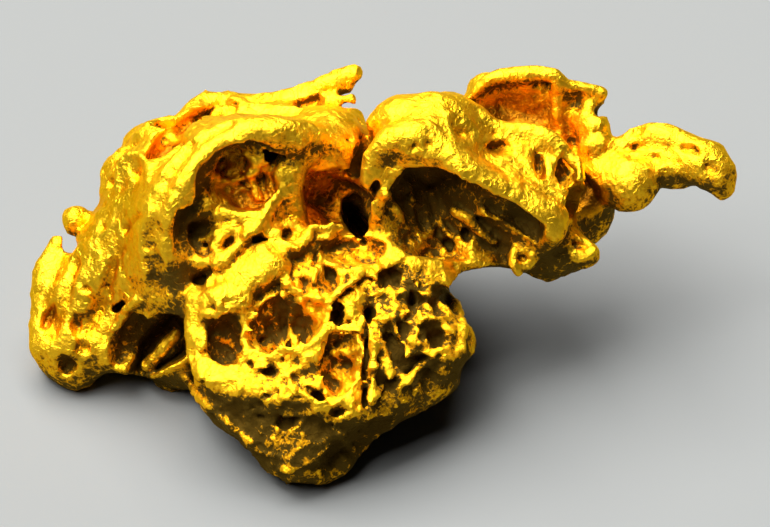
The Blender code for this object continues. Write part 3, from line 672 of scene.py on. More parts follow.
ridge((-4.6, -2.5, 0.14), (-4.7, -3.3, 0.15), (-4.3, -4.1, 0.14), lift=0.08)
ridge((-8.4, -3.6, 0.14), (-7.7, -4.1, 0.15), (-7.2, -4.7, 0.14), lift=0.08)
ridge((-2.8, -4.2, 0.14), (-2.2, -4.9, 0.15), (-2.0, -5.7, 0.14), lift=0.06)
clay.tell("pit walls")

# %% [markdown]
# Round the great pits the face is riddled with smaller ones. Pits are felt for on the face, so they
# follow it over the slope and down to the ledge.

# %% Smaller pits of the broad face
hollow((-1.7, 0.75, -1.6), (1.9, 0.85, 1.4), 5, blend=0.12)
hollow((-2.7, -0.75, -1.0), (0.5, 0.75, 1.0), 15, blend=0.1)
pit(0.0, -0.7, 0.62, 0.52, 0.9, -10)
pit(0.55, -3.6, 0.62, 1.5, 1.1, -4)
pit(1.45, -1.9, 0.5, 0.75, 0.9, 12)
pit(2.6, -3.95, 0.52, 0.6, 1.0, 5)
pit(1.65, -5.3, 0.85, 0.8, 0.9, 20)
pit(0.3, -5.9, 0.5, 0.4, 0.6, -20)
pit(2.7, -1.7, 0.4, 0.7, 0.8, 10)
pit(-5.8, -5.45, 0.42, 0.32, 0.7, -15)
pit(-3.5, -6.45, 0.55, 0.28, 0.8, -30)
pit(-3.9, -2.1, 0.3, 0.35, 0.4)
pit(-4.1, -0.9, 0.4, 0.5, 0.6, 20)
pit(-2.4, -7.4, 0.5, 0.35, 0.4)
pit(-5.0, -8.0, 0.5, 0.4, 0.4)
pit(-9.3, -0.9, 0.5, 0.35, 0.6, 20)
clay.tell("smaller pits")

# %% [markdown]
# The right part of the face is torn open, with crooked walls between its pits. The long slit is cut
# after them, since a wall laid later would close it. It has no flats, so it stays one narrow line.

# %% Torn walls and the long slit
ridge((1.7, -2.85, 0.2), (2.2, -2.75, 0.22), (3.0, -2.9, 0.22), (3.4, -3.5, 0.2), lift=0.15)
ridge((3.2, -1.6, 0.2), (3.9, -2.9, 0.24), (3.75, -4.2, 0.22), (3.2, -5.0, 0.2), (2.9, -6.3, 0.2),
      lift=0.0)
strand((0.6, -0.1, -1.5, 0.2), (1.2, -0.8, -1.2, 0.24), (0.5, -1.4, -0.9, 0.2), (-0.3, -1.5, -0.8, 0.2),
       blend=0.15)
strand((0.0, -2.6, -0.4, 0.18), (0.3, -3.3, -0.5, 0.17), (0.8, -3.9, -0.5, 0.16),
       (1.2, -4.6, -0.4, 0.18), blend=0.1)
strand((0.9, -2.7, -0.7, 0.16), (0.7, -3.4, -0.9, 0.14), (0.2, -4.4, -0.4, 0.16), blend=0.1)
strand((1.2, -5.9, -0.3, 0.2), (1.7, -5.3, -0.7, 0.18), (2.3, -4.9, -0.9, 0.2), blend=0.1)
ridge((2.9, -4.8, 0.2), (2.9, -5.6, 0.22), (2.6, -6.6, 0.2), lift=0.08)
ridge((-9.9, -5.8, 0.2), (-9.0, -7.0, 0.22), (-7.8, -8.0, 0.22), (-6.6, -8.9, 0.2), lift=0.05)
hollow((-1.02, -5.1, 0.4), (0.19, 2.15, 1.4), blend=0.06, facets=0.0)
clay.tell("torn walls")

# %% [markdown]
# ## The hood, the flange and the lobes
# The hood's top is a smooth dome with a shallow dish beside it. Its brow is cut back at the lower
# right, so the hollow runs on under it. Inside, three flutes run down like folds of a curtain, with
# a low step to the right of them.

# %% The hood's dome, brow and flutes
pit(4.2, 6.9, 0.9, 0.75, 0.25, -20, blend=0.3)
pit(5.8, 5.85, 0.58, 0.35, 0.6, -5)
hollow((7.7, 4.75, -2.9), (0.33, 0.75, 0.9), 8, blend=0.12)
hollow((9.1, 4.5, -3.4), (0.55, 0.95, 1.1), -10, blend=0.12)
hollow((6.7, 2.25, -1.9), (1.5, 0.68, 1.5), -38, blend=0.15, facets=0.6)
hollow((5.5, 2.75, -1.6), (0.85, 0.6, 1.3), -30, blend=0.2, facets=0.0)
hollow((-0.45, 3.7, -1.6), (0.22, 0.7, 0.9), -15, blend=0.1)
ridge((0.1, 3.5, 0.22), (0.45, 2.7, 0.26), (0.9, 2.0, 0.26), (1.3, 1.3, 0.24), lift=0.12)
ridge((1.2, 3.9, 0.2), (1.4, 3.1, 0.22), (1.7, 2.3, 0.24), (2.1, 1.6, 0.22), lift=0.08)
ridge((2.4, 3.6, 0.22), (2.6, 2.8, 0.26), (2.85, 2.0, 0.26), (3.1, 1.3, 0.2), lift=0.12)
ridge((3.6, 2.7, 0.28), (4.2, 2.3, 0.34), (4.8, 1.7, 0.36), (5.4, 1.2, 0.28), lift=0.25)
pit(4.0, 1.5, 0.35, 0.5, 0.9)
pit(1.9, 2.2, 0.35, 0.9, 0.4, 15)
pit(3.2, 0.9, 0.35, 0.5, 0.5)
hollow((4.6, 8.0, -5.6), (1.2, 0.28, 1.0), -28, blend=0.12)
clay.tell("hood worked")

# %% [markdown]
# Two little knobs hang from the hood's lower edge, each curled round on itself. A curl is a lump
# with a strand bent round it and a pit in the middle.

# %% The two curled knobs under the hood
lump((6.7, 0.3, -3.9), (0.7, 0.75, 0.8), blend=0.25)
strand((6.5, 0.95, -3.5, 0.2), (7.1, 0.95, -3.3, 0.2), (7.4, 0.4, -3.3, 0.2), (7.1, -0.1, -3.4, 0.18),
       blend=0.1)
strand((6.35, 0.7, -3.4, 0.2), (6.3, 0.0, -3.3, 0.24), (6.6, -0.35, -3.4, 0.24), blend=0.1)
hollow((6.8, 0.4, -3.1), (0.28, 0.3, 0.5), blend=0.08)
lump((9.8, 0.65, -5.0), (1.0, 0.75, 0.9), blend=0.3)
strand((9.0, 1.0, -4.4, 0.2), (9.3, 0.45, -4.2, 0.22), (10.0, 0.35, -4.3, 0.24), (10.5, 0.8, -4.5, 0.2),
       blend=0.1)
pit(9.75, 1.0, 0.4, 0.25, 0.3)
lump((7.6, -0.35, -5.2), (0.4, 0.3, 0.6), blend=0.2)
lump((8.2, -0.55, -5.4), (0.4, 0.25, 0.6), blend=0.2)
clay.tell("curled knobs")

# %% [markdown]
# The flange is dished and its upper right corner is notched. Where it meets the arm a thin hook of
# metal bends down beside a deep hole.

# %% The flange and the arm
hollow((6.4, 7.5, -6.1), (1.8, 1.45, 1.2), -12, blend=0.3, facets=0.3)
hollow((9.5, 8.1, -6.1), (0.6, 0.5, 0.7), blend=0.2, facets=0.3)
hollow((11.0, 7.75, -6.5), (0.6, 0.36, 0.9), 15, blend=0.12, facets=0.3)
hollow((9.7, 3.8, -5.7), (0.85, 1.0, 1.1), blend=0.3)
strand((8.6, 5.8, -3.9, 0.3), (9.3, 5.2, -3.8, 0.32), (9.75, 4.5, -3.7, 0.3), (9.75, 3.8, -3.6, 0.28),
       (9.5, 3.1, -3.3, 0.28), blend=0.2)
hollow((9.85, 3.0, -3.3), (1.2, 0.9, 1.6), 15, blend=0.12, facets=0.3)
hollow((13.2, 5.35, -4.9), (0.9, 0.25, 0.8), -4, blend=0.1)
pit(12.7, 6.6, 0.4, 0.25, 0.4)
pit(15.2, 5.7, 0.5, 0.25, 0.2, -30)
pit(16.3, 4.7, 0.4, 0.3, 0.25, -40)
clay.tell("flange and arm")

# %% [markdown]
# The left lobe has an open dish at its end, with smaller pits and a slit beside it. Two scratches
# mark its top and the flank next to it.

# %% The left lobe worked
pit(-16.95, -2.85, 0.42, 0.75, 0.6, -22)
pit(-15.45, -3.15, 0.26, 0.6, 0.6, 10)
pit(-15.0, -4.35, 0.35, 0.3, 0.35)
hollow((-16.0, -5.1, -5.6), (0.5, 0.5, 0.9), blend=0.15)
hollow((-13.2, -2.15, -4.9), (0.35, 0.5, 0.7), -30, blend=0.12)
groove((-15.1, -0.9, 0.14), (-14.85, -1.3, 0.18), (-14.6, -1.6, 0.14), sink=0.0)
groove((-13.2, 1.6, 0.14), (-12.7, 2.1, 0.2), (-12.1, 2.5, 0.15), sink=0.0)
clay.tell("left lobe worked")

# %% [markdown]
# Behind the curled rim a channel runs along the crest, and shallow folds run down the flank below
# it. They are grooves with a wide blend, so they stay soft, and a ring of metal stands at their top.

# %% The channel behind the rim and the folds of the flank
strand((-11.5, 6.2, -6.4, 0.5), (-10.3, 7.1, -6.0, 0.8), (-9.0, 7.75, -5.8, 0.95),
       (-7.4, 8.05, -5.6, 1.0), (-5.8, 8.0, -5.4, 0.9), (-4.7, 7.75, -5.2, 0.6), blend=0.3, mode="cut")
groove((-9.3, 7.35, 0.35), (-10.2, 6.6, 0.45), (-10.9, 5.9, 0.5), (-11.4, 5.4, 0.4), sink=0.3)
groove((-11.4, -1.2, 0.3), (-11.7, 1.2, 0.4), (-11.4, 3.1, 0.45), (-10.6, 4.9, 0.45), (-9.4, 6.2, 0.4),
       (-7.8, 7.0, 0.3), sink=0.0, blend=0.5)
groove((-15.6, 0.0, 0.25), (-16.1, -1.8, 0.3), (-16.8, -3.6, 0.25), sink=0.0, blend=0.4)
groove((-13.3, 0.7, 0.25), (-14.0, -1.3, 0.3), (-14.8, -3.3, 0.3), (-15.5, -4.8, 0.2), sink=-0.05,
       blend=0.4)
ridge((-13.5, 3.9, 0.2), (-13.3, 5.0, 0.24), (-12.6, 5.5, 0.24), (-11.95, 5.1, 0.22),
      (-11.8, 4.2, 0.18), lift=0.12)
pit(-12.6, 4.5, 0.5, 0.45, 0.3)
hollow((-11.0, 5.95, -4.3), (1.4, 0.62, 1.7), 50, blend=0.2, facets=0.3)
hollow((-10.0, 7.1, -5.6), (1.1, 0.55, 1.7), 48, blend=0.2, facets=0.3)
clay.tell("channel")

# %% [markdown]
# Struts cross the hollow between the lobe and the foot. The last strokes are slits and pits of the
# forked spur, thin enough to show as dark lines.

# %% Struts and the slits of the spur
ridge((-13.6, -3.3, 0.2), (-13.0, -2.4, 0.26), (-12.3, -1.8, 0.22), lift=0.15)
strand((-11.9, -5.2, -6.2, 0.3), (-11.0, -4.3, -5.8, 0.32), (-10.4, -3.5, -5.4, 0.3), blend=0.2)
strand((-13.2, -5.2, -6.6, 0.3), (-12.6, -4.6, -6.6, 0.3), (-12.4, -4.0, -6.9, 0.25), blend=0.2)
hollow((-8.6, 7.65, -7.0), (1.35, 0.55, 0.8), 20, blend=0.15)
groove((-9.2, 7.2, 0.14), (-8.7, 7.7, 0.16), (-8.3, 8.0, 0.12), sink=0.05)
hollow((-3.9, 7.95, -6.8), (0.75, 0.35, 0.8), 10, blend=0.12)
hollow((-1.9, 7.9, -6.9), (0.4, 0.14, 0.7), blend=0.08)
strand((-3.2, 8.65, -7.1, 0.12), (-2.2, 8.75, -7.0, 0.15), (-1.4, 8.7, -7.0, 0.15), blend=0.08,
       mode="cut")
pit(-9.75, 5.95, 0.35, 0.22, 0.4)
pit(-1.75, 6.25, 0.3, 0.18, 0.3)
clay.tell("spur")

# %% [markdown]
# ## The scattered pits
# Beyond the named ones there are hundreds of small pits, where grains of sand and quartz were
# pressed into soft metal. Nobody places those by hand: a seeded scatter drops them on the skin,
# larger and closer on the broad face, sparser elsewhere, with broad lumps and dents on the back.
# The scatter finds its places first, with the way that is out of the metal at each.

# %% A scatter over the skin
def skin_points(count, seed, wanted):
    """Random places on the skin and which way is out there, where `wanted` says so."""
    field = clay.field
    spots = np.argwhere(np.abs(field) < 0.6 * clay.grain)
    random = np.random.default_rng(seed)
    spots = spots[random.permutation(len(spots))]
    spots = spots[((spots > 1) & (spots < np.array(field.shape) - 2)).all(1)]
    i, j, k = spots.T
    slope_u = field[i + 1, j, k] - field[i - 1, j, k]
    slope_v = field[i, j + 1, k] - field[i, j - 1, k]
    slope_w = field[i, j, k + 1] - field[i, j, k - 1]
    out = np.stack([slope_u, slope_v, slope_w], -1)
    out /= np.maximum(np.linalg.norm(out, axis=1, keepdims=True), 1e-6)
    place = np.stack([axis[n] for axis, n in zip(clay.axes, spots.T)], -1)
    good = wanted(place, out)
    return place[good][:count], out[good][:count], random


def facing(out, roll):
    """Three axes, the last of which points out of the skin."""
    side = np.cross([0.3, 0.9, 0.2], out)
    side /= np.linalg.norm(side)
    up = np.cross(out, side)
    c, s = math.cos(roll), math.sin(roll)
    return np.stack([c * side + s * up, c * up - s * side, out], -1)


def pepper(count, seed, wanted, sizes, mode="cut", sink=0.0, blend=0.12):
    """Scatters small pits or knobs over the skin, between two half widths in mm."""
    places, outs, random = skin_points(count, seed, wanted)
    for place, out in zip(places, outs):
        size = sizes[0] * (sizes[1] / sizes[0]) ** random.random()
        stretch = random.uniform(1.0, 1.7)
        axes = facing(out, random.uniform(0, math.pi))
        oval(place + out * sink * size, (size * stretch, size, size), axes, mode, blend, margin=0.5)


print("where the skin faces u, a pit's own third axis is", facing(np.array([1.0, 0.0, 0.0]), 0.0)[:, 2])

# %% [markdown]
# Where each kind of pit may fall is a small test on its place and on which way the skin faces
# there. The number after the count is the seed, so the same pits come back each time.

# %% Pepper the skin
def on_broad_face(place, out):
    wide = (place[:, 0] > -9.4) & (place[:, 0] < 4.4)
    high = (place[:, 1] > -6.5) & (place[:, 1] < 1.4)
    return wide & high & (out[:, 2] > 0.25)


def on_show_side(place, out):
    return (out[:, 2] > 0.1) & ~on_broad_face(place, out)


def on_far_side(place, out):
    behind = (place[:, 2] < -9.0 + 4.0 * (out[:, 1] < -0.3)) & (place[:, 1] < 7.2)
    return (out[:, 2] <= 0.1) & (place[:, 0] < 9.5) & behind


def on_ledge(place, out):
    wide = (place[:, 0] > -10.0) & (place[:, 0] < 0.5)
    high = (place[:, 1] > -7.6) & (place[:, 1] < -1.5 - 3.4 * (place[:, 0] > -8.6))
    return wide & high & (out[:, 2] > 0.2)


pepper(80, 11, on_broad_face, (0.11, 0.24), sink=0.1)
pepper(26, 12, on_broad_face, (0.12, 0.24), mode="add", sink=0.1, blend=0.15)
pepper(90, 13, on_show_side, (0.09, 0.20), sink=0.25)
pepper(70, 17, on_ledge, (0.08, 0.17), sink=0.15)
pepper(60, 14, on_far_side, (0.5, 1.0), sink=0.45, blend=0.3)
pepper(50, 15, on_far_side, (0.35, 0.8), mode="add", sink=-0.2, blend=0.3)
pepper(120, 16, on_far_side, (0.15, 0.40))
clay.tell("pepper")

# %% [markdown]
# ## Scoops and ridges
# Where quartz crystals pressed against the metal it took the shape of scoops that meet in sharp
# ridges. Cell noise has that shape: scatter seeds in space, and the skin sinks inside each seed's
# cell and stays high along the walls where two cells meet. It only needs doing close to the skin.

# %% Cell noise
def scoops(points, size, seed):
    """0 on the walls between cells, rising to each cell's own depth, about 1, inside it."""
    random = np.random.default_rng(seed)
    cell = np.floor(points / size).astype(int)
    first = cell.min(0) - 1
    count = cell.max(0) - first + 2
    middle = random.random((*count, 3)).astype(np.float32)
    depth = random.uniform(0.3, 1.5, count).astype(np.float32)
    nearest = np.full(len(points), FAR, np.float32)
    second = nearest.copy()
    deep = np.zeros(len(points), np.float32)
    for step in np.ndindex(3, 3, 3):
        place = cell - first + np.array(step) - 1
        i, j, k = place.T
        gap = np.linalg.norm(points - (place + first + middle[i, j, k]) * size, axis=1).astype(np.float32)
        closer = gap < nearest
        second = np.where(closer, nearest, np.minimum(second, gap))
        deep = np.where(closer, depth[i, j, k], deep)
        nearest = np.minimum(nearest, gap)
    wall = np.clip((second - nearest) / size, 0, 1)
    return deep * (1 - np.exp(-wall / 0.16))


row = np.stack([np.arange(0.0, 4.0, 0.5), np.zeros(8), np.zeros(8)], 1)
print("scoops along a row of points:", scoops(row, 1.45, 31).round(2))

# %% [markdown]
# The scoops are deep on the broad face, in the bowl and on the foot, and shallow on the rubbed
# tops. Each region is a soft ball of influence with a centre and a reach, and the strongest one at
# a place decides.

# %% Scoop the skin
BROAD_FACE = ((-2.4, -3.2, -0.5), (6.6, 5.0, 4.0))       # centre and reach in mm
SKIN_DEPTH = 0.55                                        # mm of clay scooped on either side of the skin


def near(points, centre, reach):
    """1 at the centre, fading to 0."""
    away = (((points - np.array(centre)) / np.array(reach)) ** 2).sum(1)
    return np.clip(1.4 - away, 0, 1)


def near_any(points, *regions):
    """The same for whichever of several regions counts most."""
    return np.maximum.reduce([near(points, centre, reach) for centre, reach in regions])


band = np.argwhere(np.abs(clay.field) < SKIN_DEPTH)
spots = np.stack([axis[n] for axis, n in zip(clay.axes, band.T)], -1) + 2.0 * clay.warp[tuple(band.T)]
tongue = near(spots, (-7.1, -1.6, -0.8), (1.6, 2.0, 1.6))
ledge = near(spots, (-7.6, -5.6, -0.2), (2.8, 2.0, 2.2))
broad = np.maximum(near(spots, *BROAD_FACE) * (1 - 0.8 * tongue), 0.9 * ledge)
inner = near_any(spots, ((-7.6, 2.4, -2.6), (3.0, 3.6, 1.9)), ((4.0, 0.9, -4.6), (4.2, 2.0, 1.2)))
calm = near_any(spots, ((8.3, 4.8, -3.4), (2.4, 1.8, 2.0)), ((7.9, 0.4, -3.9), (3.2, 1.2, 1.6)))
foot = near(spots, (-4.0, -8.6, -0.6), (4.6, 2.6, 3.4))
rough = np.maximum.reduce([broad, 0.7 * inner, 0.8 * foot]) * (1 - 0.8 * calm)
far_side = np.clip((-spots[:, 2] - 6.5) / 3.0, 0, 1)
sunk = (0.06 + 0.20 * rough + 0.12 * far_side) * (scoops(spots, 1.45, 31) - 0.5)
sunk += (0.02 + 0.10 * rough) * (scoops(spots, 0.75, 32) - 0.5)
clay.field[tuple(band.T)] += sunk.astype(np.float32)
print("points near the skin:", len(band), "- deepest scoop in mm:", round(float(sunk.max()), 2))

# %% [markdown]
# Last comes an all-over waver of the surface in three sizes, from rolled dents down to the orange
# peel of hammered metal. It is added to the distances themselves. Then the ground is cut off flat:
# a nugget lies on small worn spots, and this one has three.

# %% Waver and worn spots
clay.field += 0.05 * cloud(clay.axes, 0.9, 21) + 0.018 * cloud(clay.axes, 0.45, 22)
clay.field += 0.10 * cloud(clay.axes, 1.9, 23)
_, axis_v, axis_w = clay.axes
under_ground = GROUND - (axis_v[:, None] * math.sin(LEAN) + axis_w[None, :] * math.cos(LEAN))
clay.field = np.maximum(clay.field, under_ground[None, :, :].astype(np.float32))
clay.tell("waver and worn spots")

# %% [markdown]
# ## From numbers to a mesh
# OpenVDB, which Blender carries with it, walks the grid and lays a face wherever the distance
# passes through zero. Chips that the pits cut loose are dropped, and only the largest body stays.

# %% Mesh the clay
def largest_body(points, quads):
    """Keeps the faces of the largest connected body and drops loose chips."""
    label = np.arange(len(points))
    while True:
        smallest = label[quads].min(1)
        before = label.copy()
        for corner in range(4):
            np.minimum.at(label, quads[:, corner], smallest)
        label = label[label]
        if (label == before).all():
            break
    names, counts = np.unique(label, return_counts=True)
    keep = label == names[counts.argmax()]
    number = np.cumsum(keep) - 1
    return points[keep], number[quads[keep[quads[:, 0]]]]


def mesh_of(clay):
    width = 3 * clay.grain
    grid = openvdb.FloatGrid()
    grid.copyFromArray(np.clip(clay.field, -width, width))
    points, _, quads = grid.convertToPolygons(isovalue=0.0, adaptivity=0.0)
    points = np.asarray(points) * clay.grain + np.array([axis[0] for axis in clay.axes])
    return largest_body(points, np.asarray(quads).astype(int))


points, quads = mesh_of(clay)
print("skin:", len(points), "points,", len(quads), "four-sided faces")

# %% [markdown]
# The grid lays its faces evenly, flat ground and sharp ridge alike. Collapsing the least telling
# edges brings the count down to what one piece may have, and what is lost is lost on the flats.

# %% Thin the mesh
MOST_FACES = 192000


def skin_mesh(name, points, faces):
    mesh = bpy.data.meshes.new(name)
    mesh.vertices.add(len(points))
    mesh.vertices.foreach_set("co", points.astype(np.float32).ravel())
    mesh.loops.add(faces.size)
    mesh.loops.foreach_set("vertex_index", faces.ravel().astype(np.int32))
    mesh.polygons.add(len(faces))
    mesh.polygons.foreach_set("loop_start", np.arange(0, faces.size, faces.shape[1], dtype=np.int32))
    mesh.update(calc_edges=True)
    mesh.validate()
    return mesh


def thinned(points, quads, most):
    """The same skin in triangles, at most so many of them."""
    rough = bpy.data.objects.new("rough_skin", skin_mesh("rough_skin", points, quads))
    bpy.context.scene.collection.objects.link(rough)
    thin = rough.modifiers.new("Thin", "DECIMATE")
    thin.ratio = min(1.0, most / (2.0 * len(quads)))
    thin.use_collapse_triangulate = True
    done = rough.evaluated_get(bpy.context.evaluated_depsgraph_get()).to_mesh()
    place = np.zeros(3 * len(done.vertices), np.float32)
    done.vertices.foreach_get("co", place)
    corners = np.zeros(3 * len(done.polygons), np.int32)
    done.polygons.foreach_get("vertices", corners)
    bpy.data.objects.remove(rough)
    return place.reshape(-1, 3).astype(float), corners.reshape(-1, 3)


points, faces = thinned(points, quads, MOST_FACES)
print("thinned to", len(faces), "triangles")

# %% [markdown]
# ## What the skin remembers
# The material paints shade into the hollows and creases and keeps the edges bright. Blurring the
# distances shows which is which: in a hollow the blur finds mostly metal, on an edge mostly air.
# Two widths of blur are kept on the mesh as attributes for the material to read.

# %% Hollow and edge attributes
def blurred(field, cells):
    """Box blur along each axis, from running sums."""
    for axis in range(3):
        pad = [(0, 0)] * 3
        pad[axis] = (cells + 1, cells)
        sums = np.cumsum(np.pad(field, pad, mode="edge"), axis=axis, dtype=np.float64)
        high = np.take(sums, range(2 * cells + 1, sums.shape[axis]), axis)
        low = np.take(sums, range(0, sums.shape[axis] - 2 * cells - 1), axis)
        field = ((high - low) / (2 * cells + 1)).astype(np.float32)
    return field


def sampled(field, points):
    """Reads the grid between its points."""
    place = (points - np.array([axis[0] for axis in clay.axes])) / clay.grain
    low = np.clip(np.floor(place).astype(int), 0, np.array(field.shape) - 2)
    part = place - low
    value = np.zeros(len(points))
    for corner in np.ndindex(2, 2, 2):
        weight = np.prod(np.where(corner, part, 1 - part), axis=1)
        value += weight * field[tuple((low + corner).T)]
    return value


FINE_BLUR = 0.35                 # mm, wide enough to tell an edge
WIDE_BLUR = 1.1                  # mm, wide enough to tell a hollow

capped = np.clip(clay.field, -2.0, 2.0)
fine_blur = sampled(blurred(capped, int(round(FINE_BLUR / GRAIN))), points)
wide_blur = sampled(blurred(capped, int(round(WIDE_BLUR / GRAIN))), points)
# crease and recess tell the material where to paint the darker, redder shade of hollows
crease = np.clip(-fine_blur / 0.12, -1, 1)
recess = np.clip(-wide_blur / 0.45, -1, 1)
print("crease from", crease.min().round(2), "to", crease.max().round(2))

# %% [markdown]
# The material paints shade, a brown partly of soil, where little of the sky is seen: under the
# hood, in the deep pits and on the undersides. To find these places, the field is walked from each
# point of the skin towards several parts of the sky, and every piece of metal met on the way
# shelters it.

# %% Shelter from the sky
SKY = ((-0.25, 0.35, 0.90), (0.30, 0.40, 0.87), (0.0, 0.75, 0.66), (-0.65, 0.15, 0.74), (-0.1, -0.1, 0.98))
WALK = np.geomspace(0.5, 9.0, 14)        # mm walked towards each part of the sky


def at_nearest(points):
    """Field at the nearest grid point, which is quick."""
    place = np.rint((points - np.array([axis[0] for axis in clay.axes])) / clay.grain).astype(int)
    place = np.clip(place, 0, np.array(clay.field.shape) - 1)
    return clay.field[tuple(place.T)]


def outward(points):
    """Which way is out of the metal at each point."""
    steps = 1.5 * clay.grain * np.eye(3)
    out = np.stack([at_nearest(points + step) - at_nearest(points - step) for step in steps], 1)
    return out / np.maximum(np.linalg.norm(out, axis=1, keepdims=True), 1e-6)


def open_sky(points):
    """0 in full shelter to about 1 where the whole sky is seen."""
    out = outward(points)
    total = np.zeros(len(points))
    for x, y, z in SKY:
        v, w = y * math.cos(LEAN) + z * math.sin(LEAN), z * math.cos(LEAN) - y * math.sin(LEAN)
        towards = np.array((x, v, w)) / np.linalg.norm((x, v, w))
        clear = np.ones(len(points))
        for away in WALK:
            gap = at_nearest(points + 0.25 * out + towards * away)
            clear = np.minimum(clear, gap / (0.18 * away) + 0.5)
        total += np.clip(clear, 0, 1) * np.clip(out @ towards + 0.25, 0, 1)
    return total / len(SKY)


# shelter drives the brown painted shade of the lee in the material, partly soil
sky = open_sky(points)
shelter = np.clip(1.0 - sky / 0.55, 0, 1)
print("mean shelter:", shelter.mean().round(2))

# %% [markdown]
# Shape alone doesn't say everything, so some places get more or less painted shade and soil. Each
# is one row, with how much it adds or takes away, and the regions it covers. Under the ledge, on
# the underside, a broad band of painted shade is given by a formula, because it is long and thin.

# %% Where soil and painted shade lie
# each row adds or takes away painted shade together with soil
SOIL_AND_SHADE = (
    (0.30, ((-9.8, 2.4, -1.5), (0.7, 2.8, 1.3)), ((-10.4, -0.6, -1.7), (0.7, 2.0, 1.5))),    # curled rim
    (0.16, ((-6.0, -6.2, 0.2), (4.6, 1.6, 1.8))),        # the ledge
    (0.12, ((-9.2, -3.6, -0.6), (0.9, 2.4, 1.4))),       # the broad face's left rim
    (0.36, ((1.8, -3.4, -1.2), (2.4, 4.0, 3.0))),        # its torn right part
    (0.15, ((-4.9, -3.2, -1.2), (1.4, 1.4, 1.2))),       # the second pit
    (-0.35, ((-14.6, -0.8, -5.5), (3.0, 4.6, 3.4)), ((-12.6, 2.0, -4.5), (1.6, 3.6, 3.0))),  # lobe and flank
    (-0.60, ((-3.0, 3.4, -3.4), (1.9, 2.2, 2.4))),       # the deep hole beside the hood
    (-0.35, ((-6.6, 4.0, -2.2), (2.2, 2.2, 1.4))),       # the bowl
    (-0.50, ((-3.6, -10.7, -1.4), (2.4, 0.75, 2.6))),    # the rubbed tip of the foot
    (-0.35, ((-8.6, -7.3, -2.2), (2.2, 0.8, 2.4))),      # the foot's left edge
    (-0.30, ((-11.4, -4.4, -3.4), (2.6, 1.8, 2.6))),     # between the lobe and the foot
    (-0.50, ((2.2, -6.7, -1.6), (1.8, 1.2, 2.0))),       # the foot's right edge
    (-0.25, ((9.0, 4.2, -2.6), (2.4, 1.8, 1.6))),        # the hood's right end
)
u, v, w = points.T
# painted shade on the underside below the ledge
under_ledge = np.clip((-7.4 + 0.035 * (u + 2.5) ** 2 - v) / 0.7, 0, 1) * np.clip((w + 6.0) / 2.0, 0, 1)
tongue = near(points, (-7.2, -1.2, -0.8), (2.4, 2.0, 1.6))
soil_and_shade = np.maximum(0.62 * under_ledge, 0.28 * near(points, *BROAD_FACE) * (1 - tongue))
for amount, *regions in SOIL_AND_SHADE:
    soil_and_shade += amount * near_any(points, *regions)
print("soil from", soil_and_shade.min().round(2), "to", soil_and_shade.max().round(2))

# %% [markdown]
# A red stain, partly rust and partly the painted reddened shade of a hollow, sits in a few hollows
# and corners only. Each row says how much a place holds at most, where it is, and how far it
# reaches. Where two rows meet, the stronger one counts.

# %% Where rust and painted red shade lie
RUST_AND_SHADE = (
    (1.0, (-7.3, 4.2, -2.2), (2.0, 2.2, 1.6)),           # the bowl
    (0.5, (-2.8, 3.8, -3.6), (2.4, 2.4, 3.0)),           # the deep hole beside the hood
    (1.2, (-9.4, 7.3, -6.2), (1.6, 1.0, 1.8)),           # the channel behind the rim
    (1.3, (-11.0, 5.9, -5.0), (1.0, 1.1, 1.6)),          # the channel's left end
    (1.9, (7.0, 7.2, -7.0), (2.6, 2.2, 1.2)),            # the flange's dish
    (2.2, (10.2, 3.6, -5.8), (1.1, 1.2, 1.2)),           # the wall below the arm
    (1.0, (-16.6, -2.9, -5.8), (1.0, 1.6, 1.2)),         # the left lobe's dish
    (0.8, (-2.3, -4.7, -0.2), (1.3, 1.6, 0.9)),          # the third pit
    (1.0, (-0.9, 6.3, -3.4), (0.6, 1.2, 1.4)),           # the cleft beside the hood
    (1.0, (-7.8, -4.3, -0.9), (0.8, 0.7, 1.0)),          # the first pit
    (2.6, (9.7, 3.1, -4.6), (1.3, 1.2, 1.6)),            # under the hood's right end
    (1.4, (-3.6, -2.5, -0.3), (0.9, 1.2, 0.9)),          # above the second pit
    (1.3, (-0.6, -9.2, -1.6), (1.2, 1.0, 2.0)),          # the foot's right flank
    (1.0, (-9.4, -6.6, -2.2), (1.2, 0.9, 2.0)),          # the foot's left flank
    (1.2, (1.2, -7.9, -2.2), (1.4, 0.8, 1.8)),           # below the torn walls
)
# partly real rust, partly the painted red shade of these hollows
rust_and_shade = np.maximum.reduce([most * near(points, centre, reach) for most, centre, reach in RUST_AND_SHADE])
print("points with rust:", int((rust_and_shade > 0).sum()))

# %% [markdown]
# The points now leave the show frame for the part's. The five notes travel with them as attributes,
# one number for each point, which is how a shape can tell its material where to paint shade and
# stain without an image or a UV map.

# %% The nugget's mesh, in the part's frame
NOTES = {"crease": crease, "recess": recess, "shelter": shelter, "rust_and_shade": rust_and_shade, "soil_and_shade": soil_and_shade}


def signed_volume(points, faces):
    a, b, c = [points[faces[:, corner]] for corner in range(3)]
    return np.einsum("ij,ij->i", a, np.cross(b, c)).sum() / 6


if signed_volume(points, faces) < 0:
    faces = faces[:, ::-1]
skin = skin_mesh("nugget_skin", to_part(points), faces)
skin.polygons.foreach_set("use_smooth", np.ones(len(skin.polygons), bool))
for name, values in NOTES.items():
    skin.attributes.new(name, "FLOAT", "POINT").data.foreach_set("value", values.astype(np.float32))
nugget = bpy.data.objects.new("nugget_skin", skin)
bpy.context.scene.collection.objects.link(nugget)
print("volume:", round(signed_volume(points, faces)), "cubic mm")

# %% [markdown]
# ## The gold
# A material and a Geometry Nodes tree are both wired from nodes. A few helpers keep the wiring
# readable: one adds any node and fills or links its inputs, and the others each add one kind of
# sum. The socket that a node puts out is handed on like any other value.

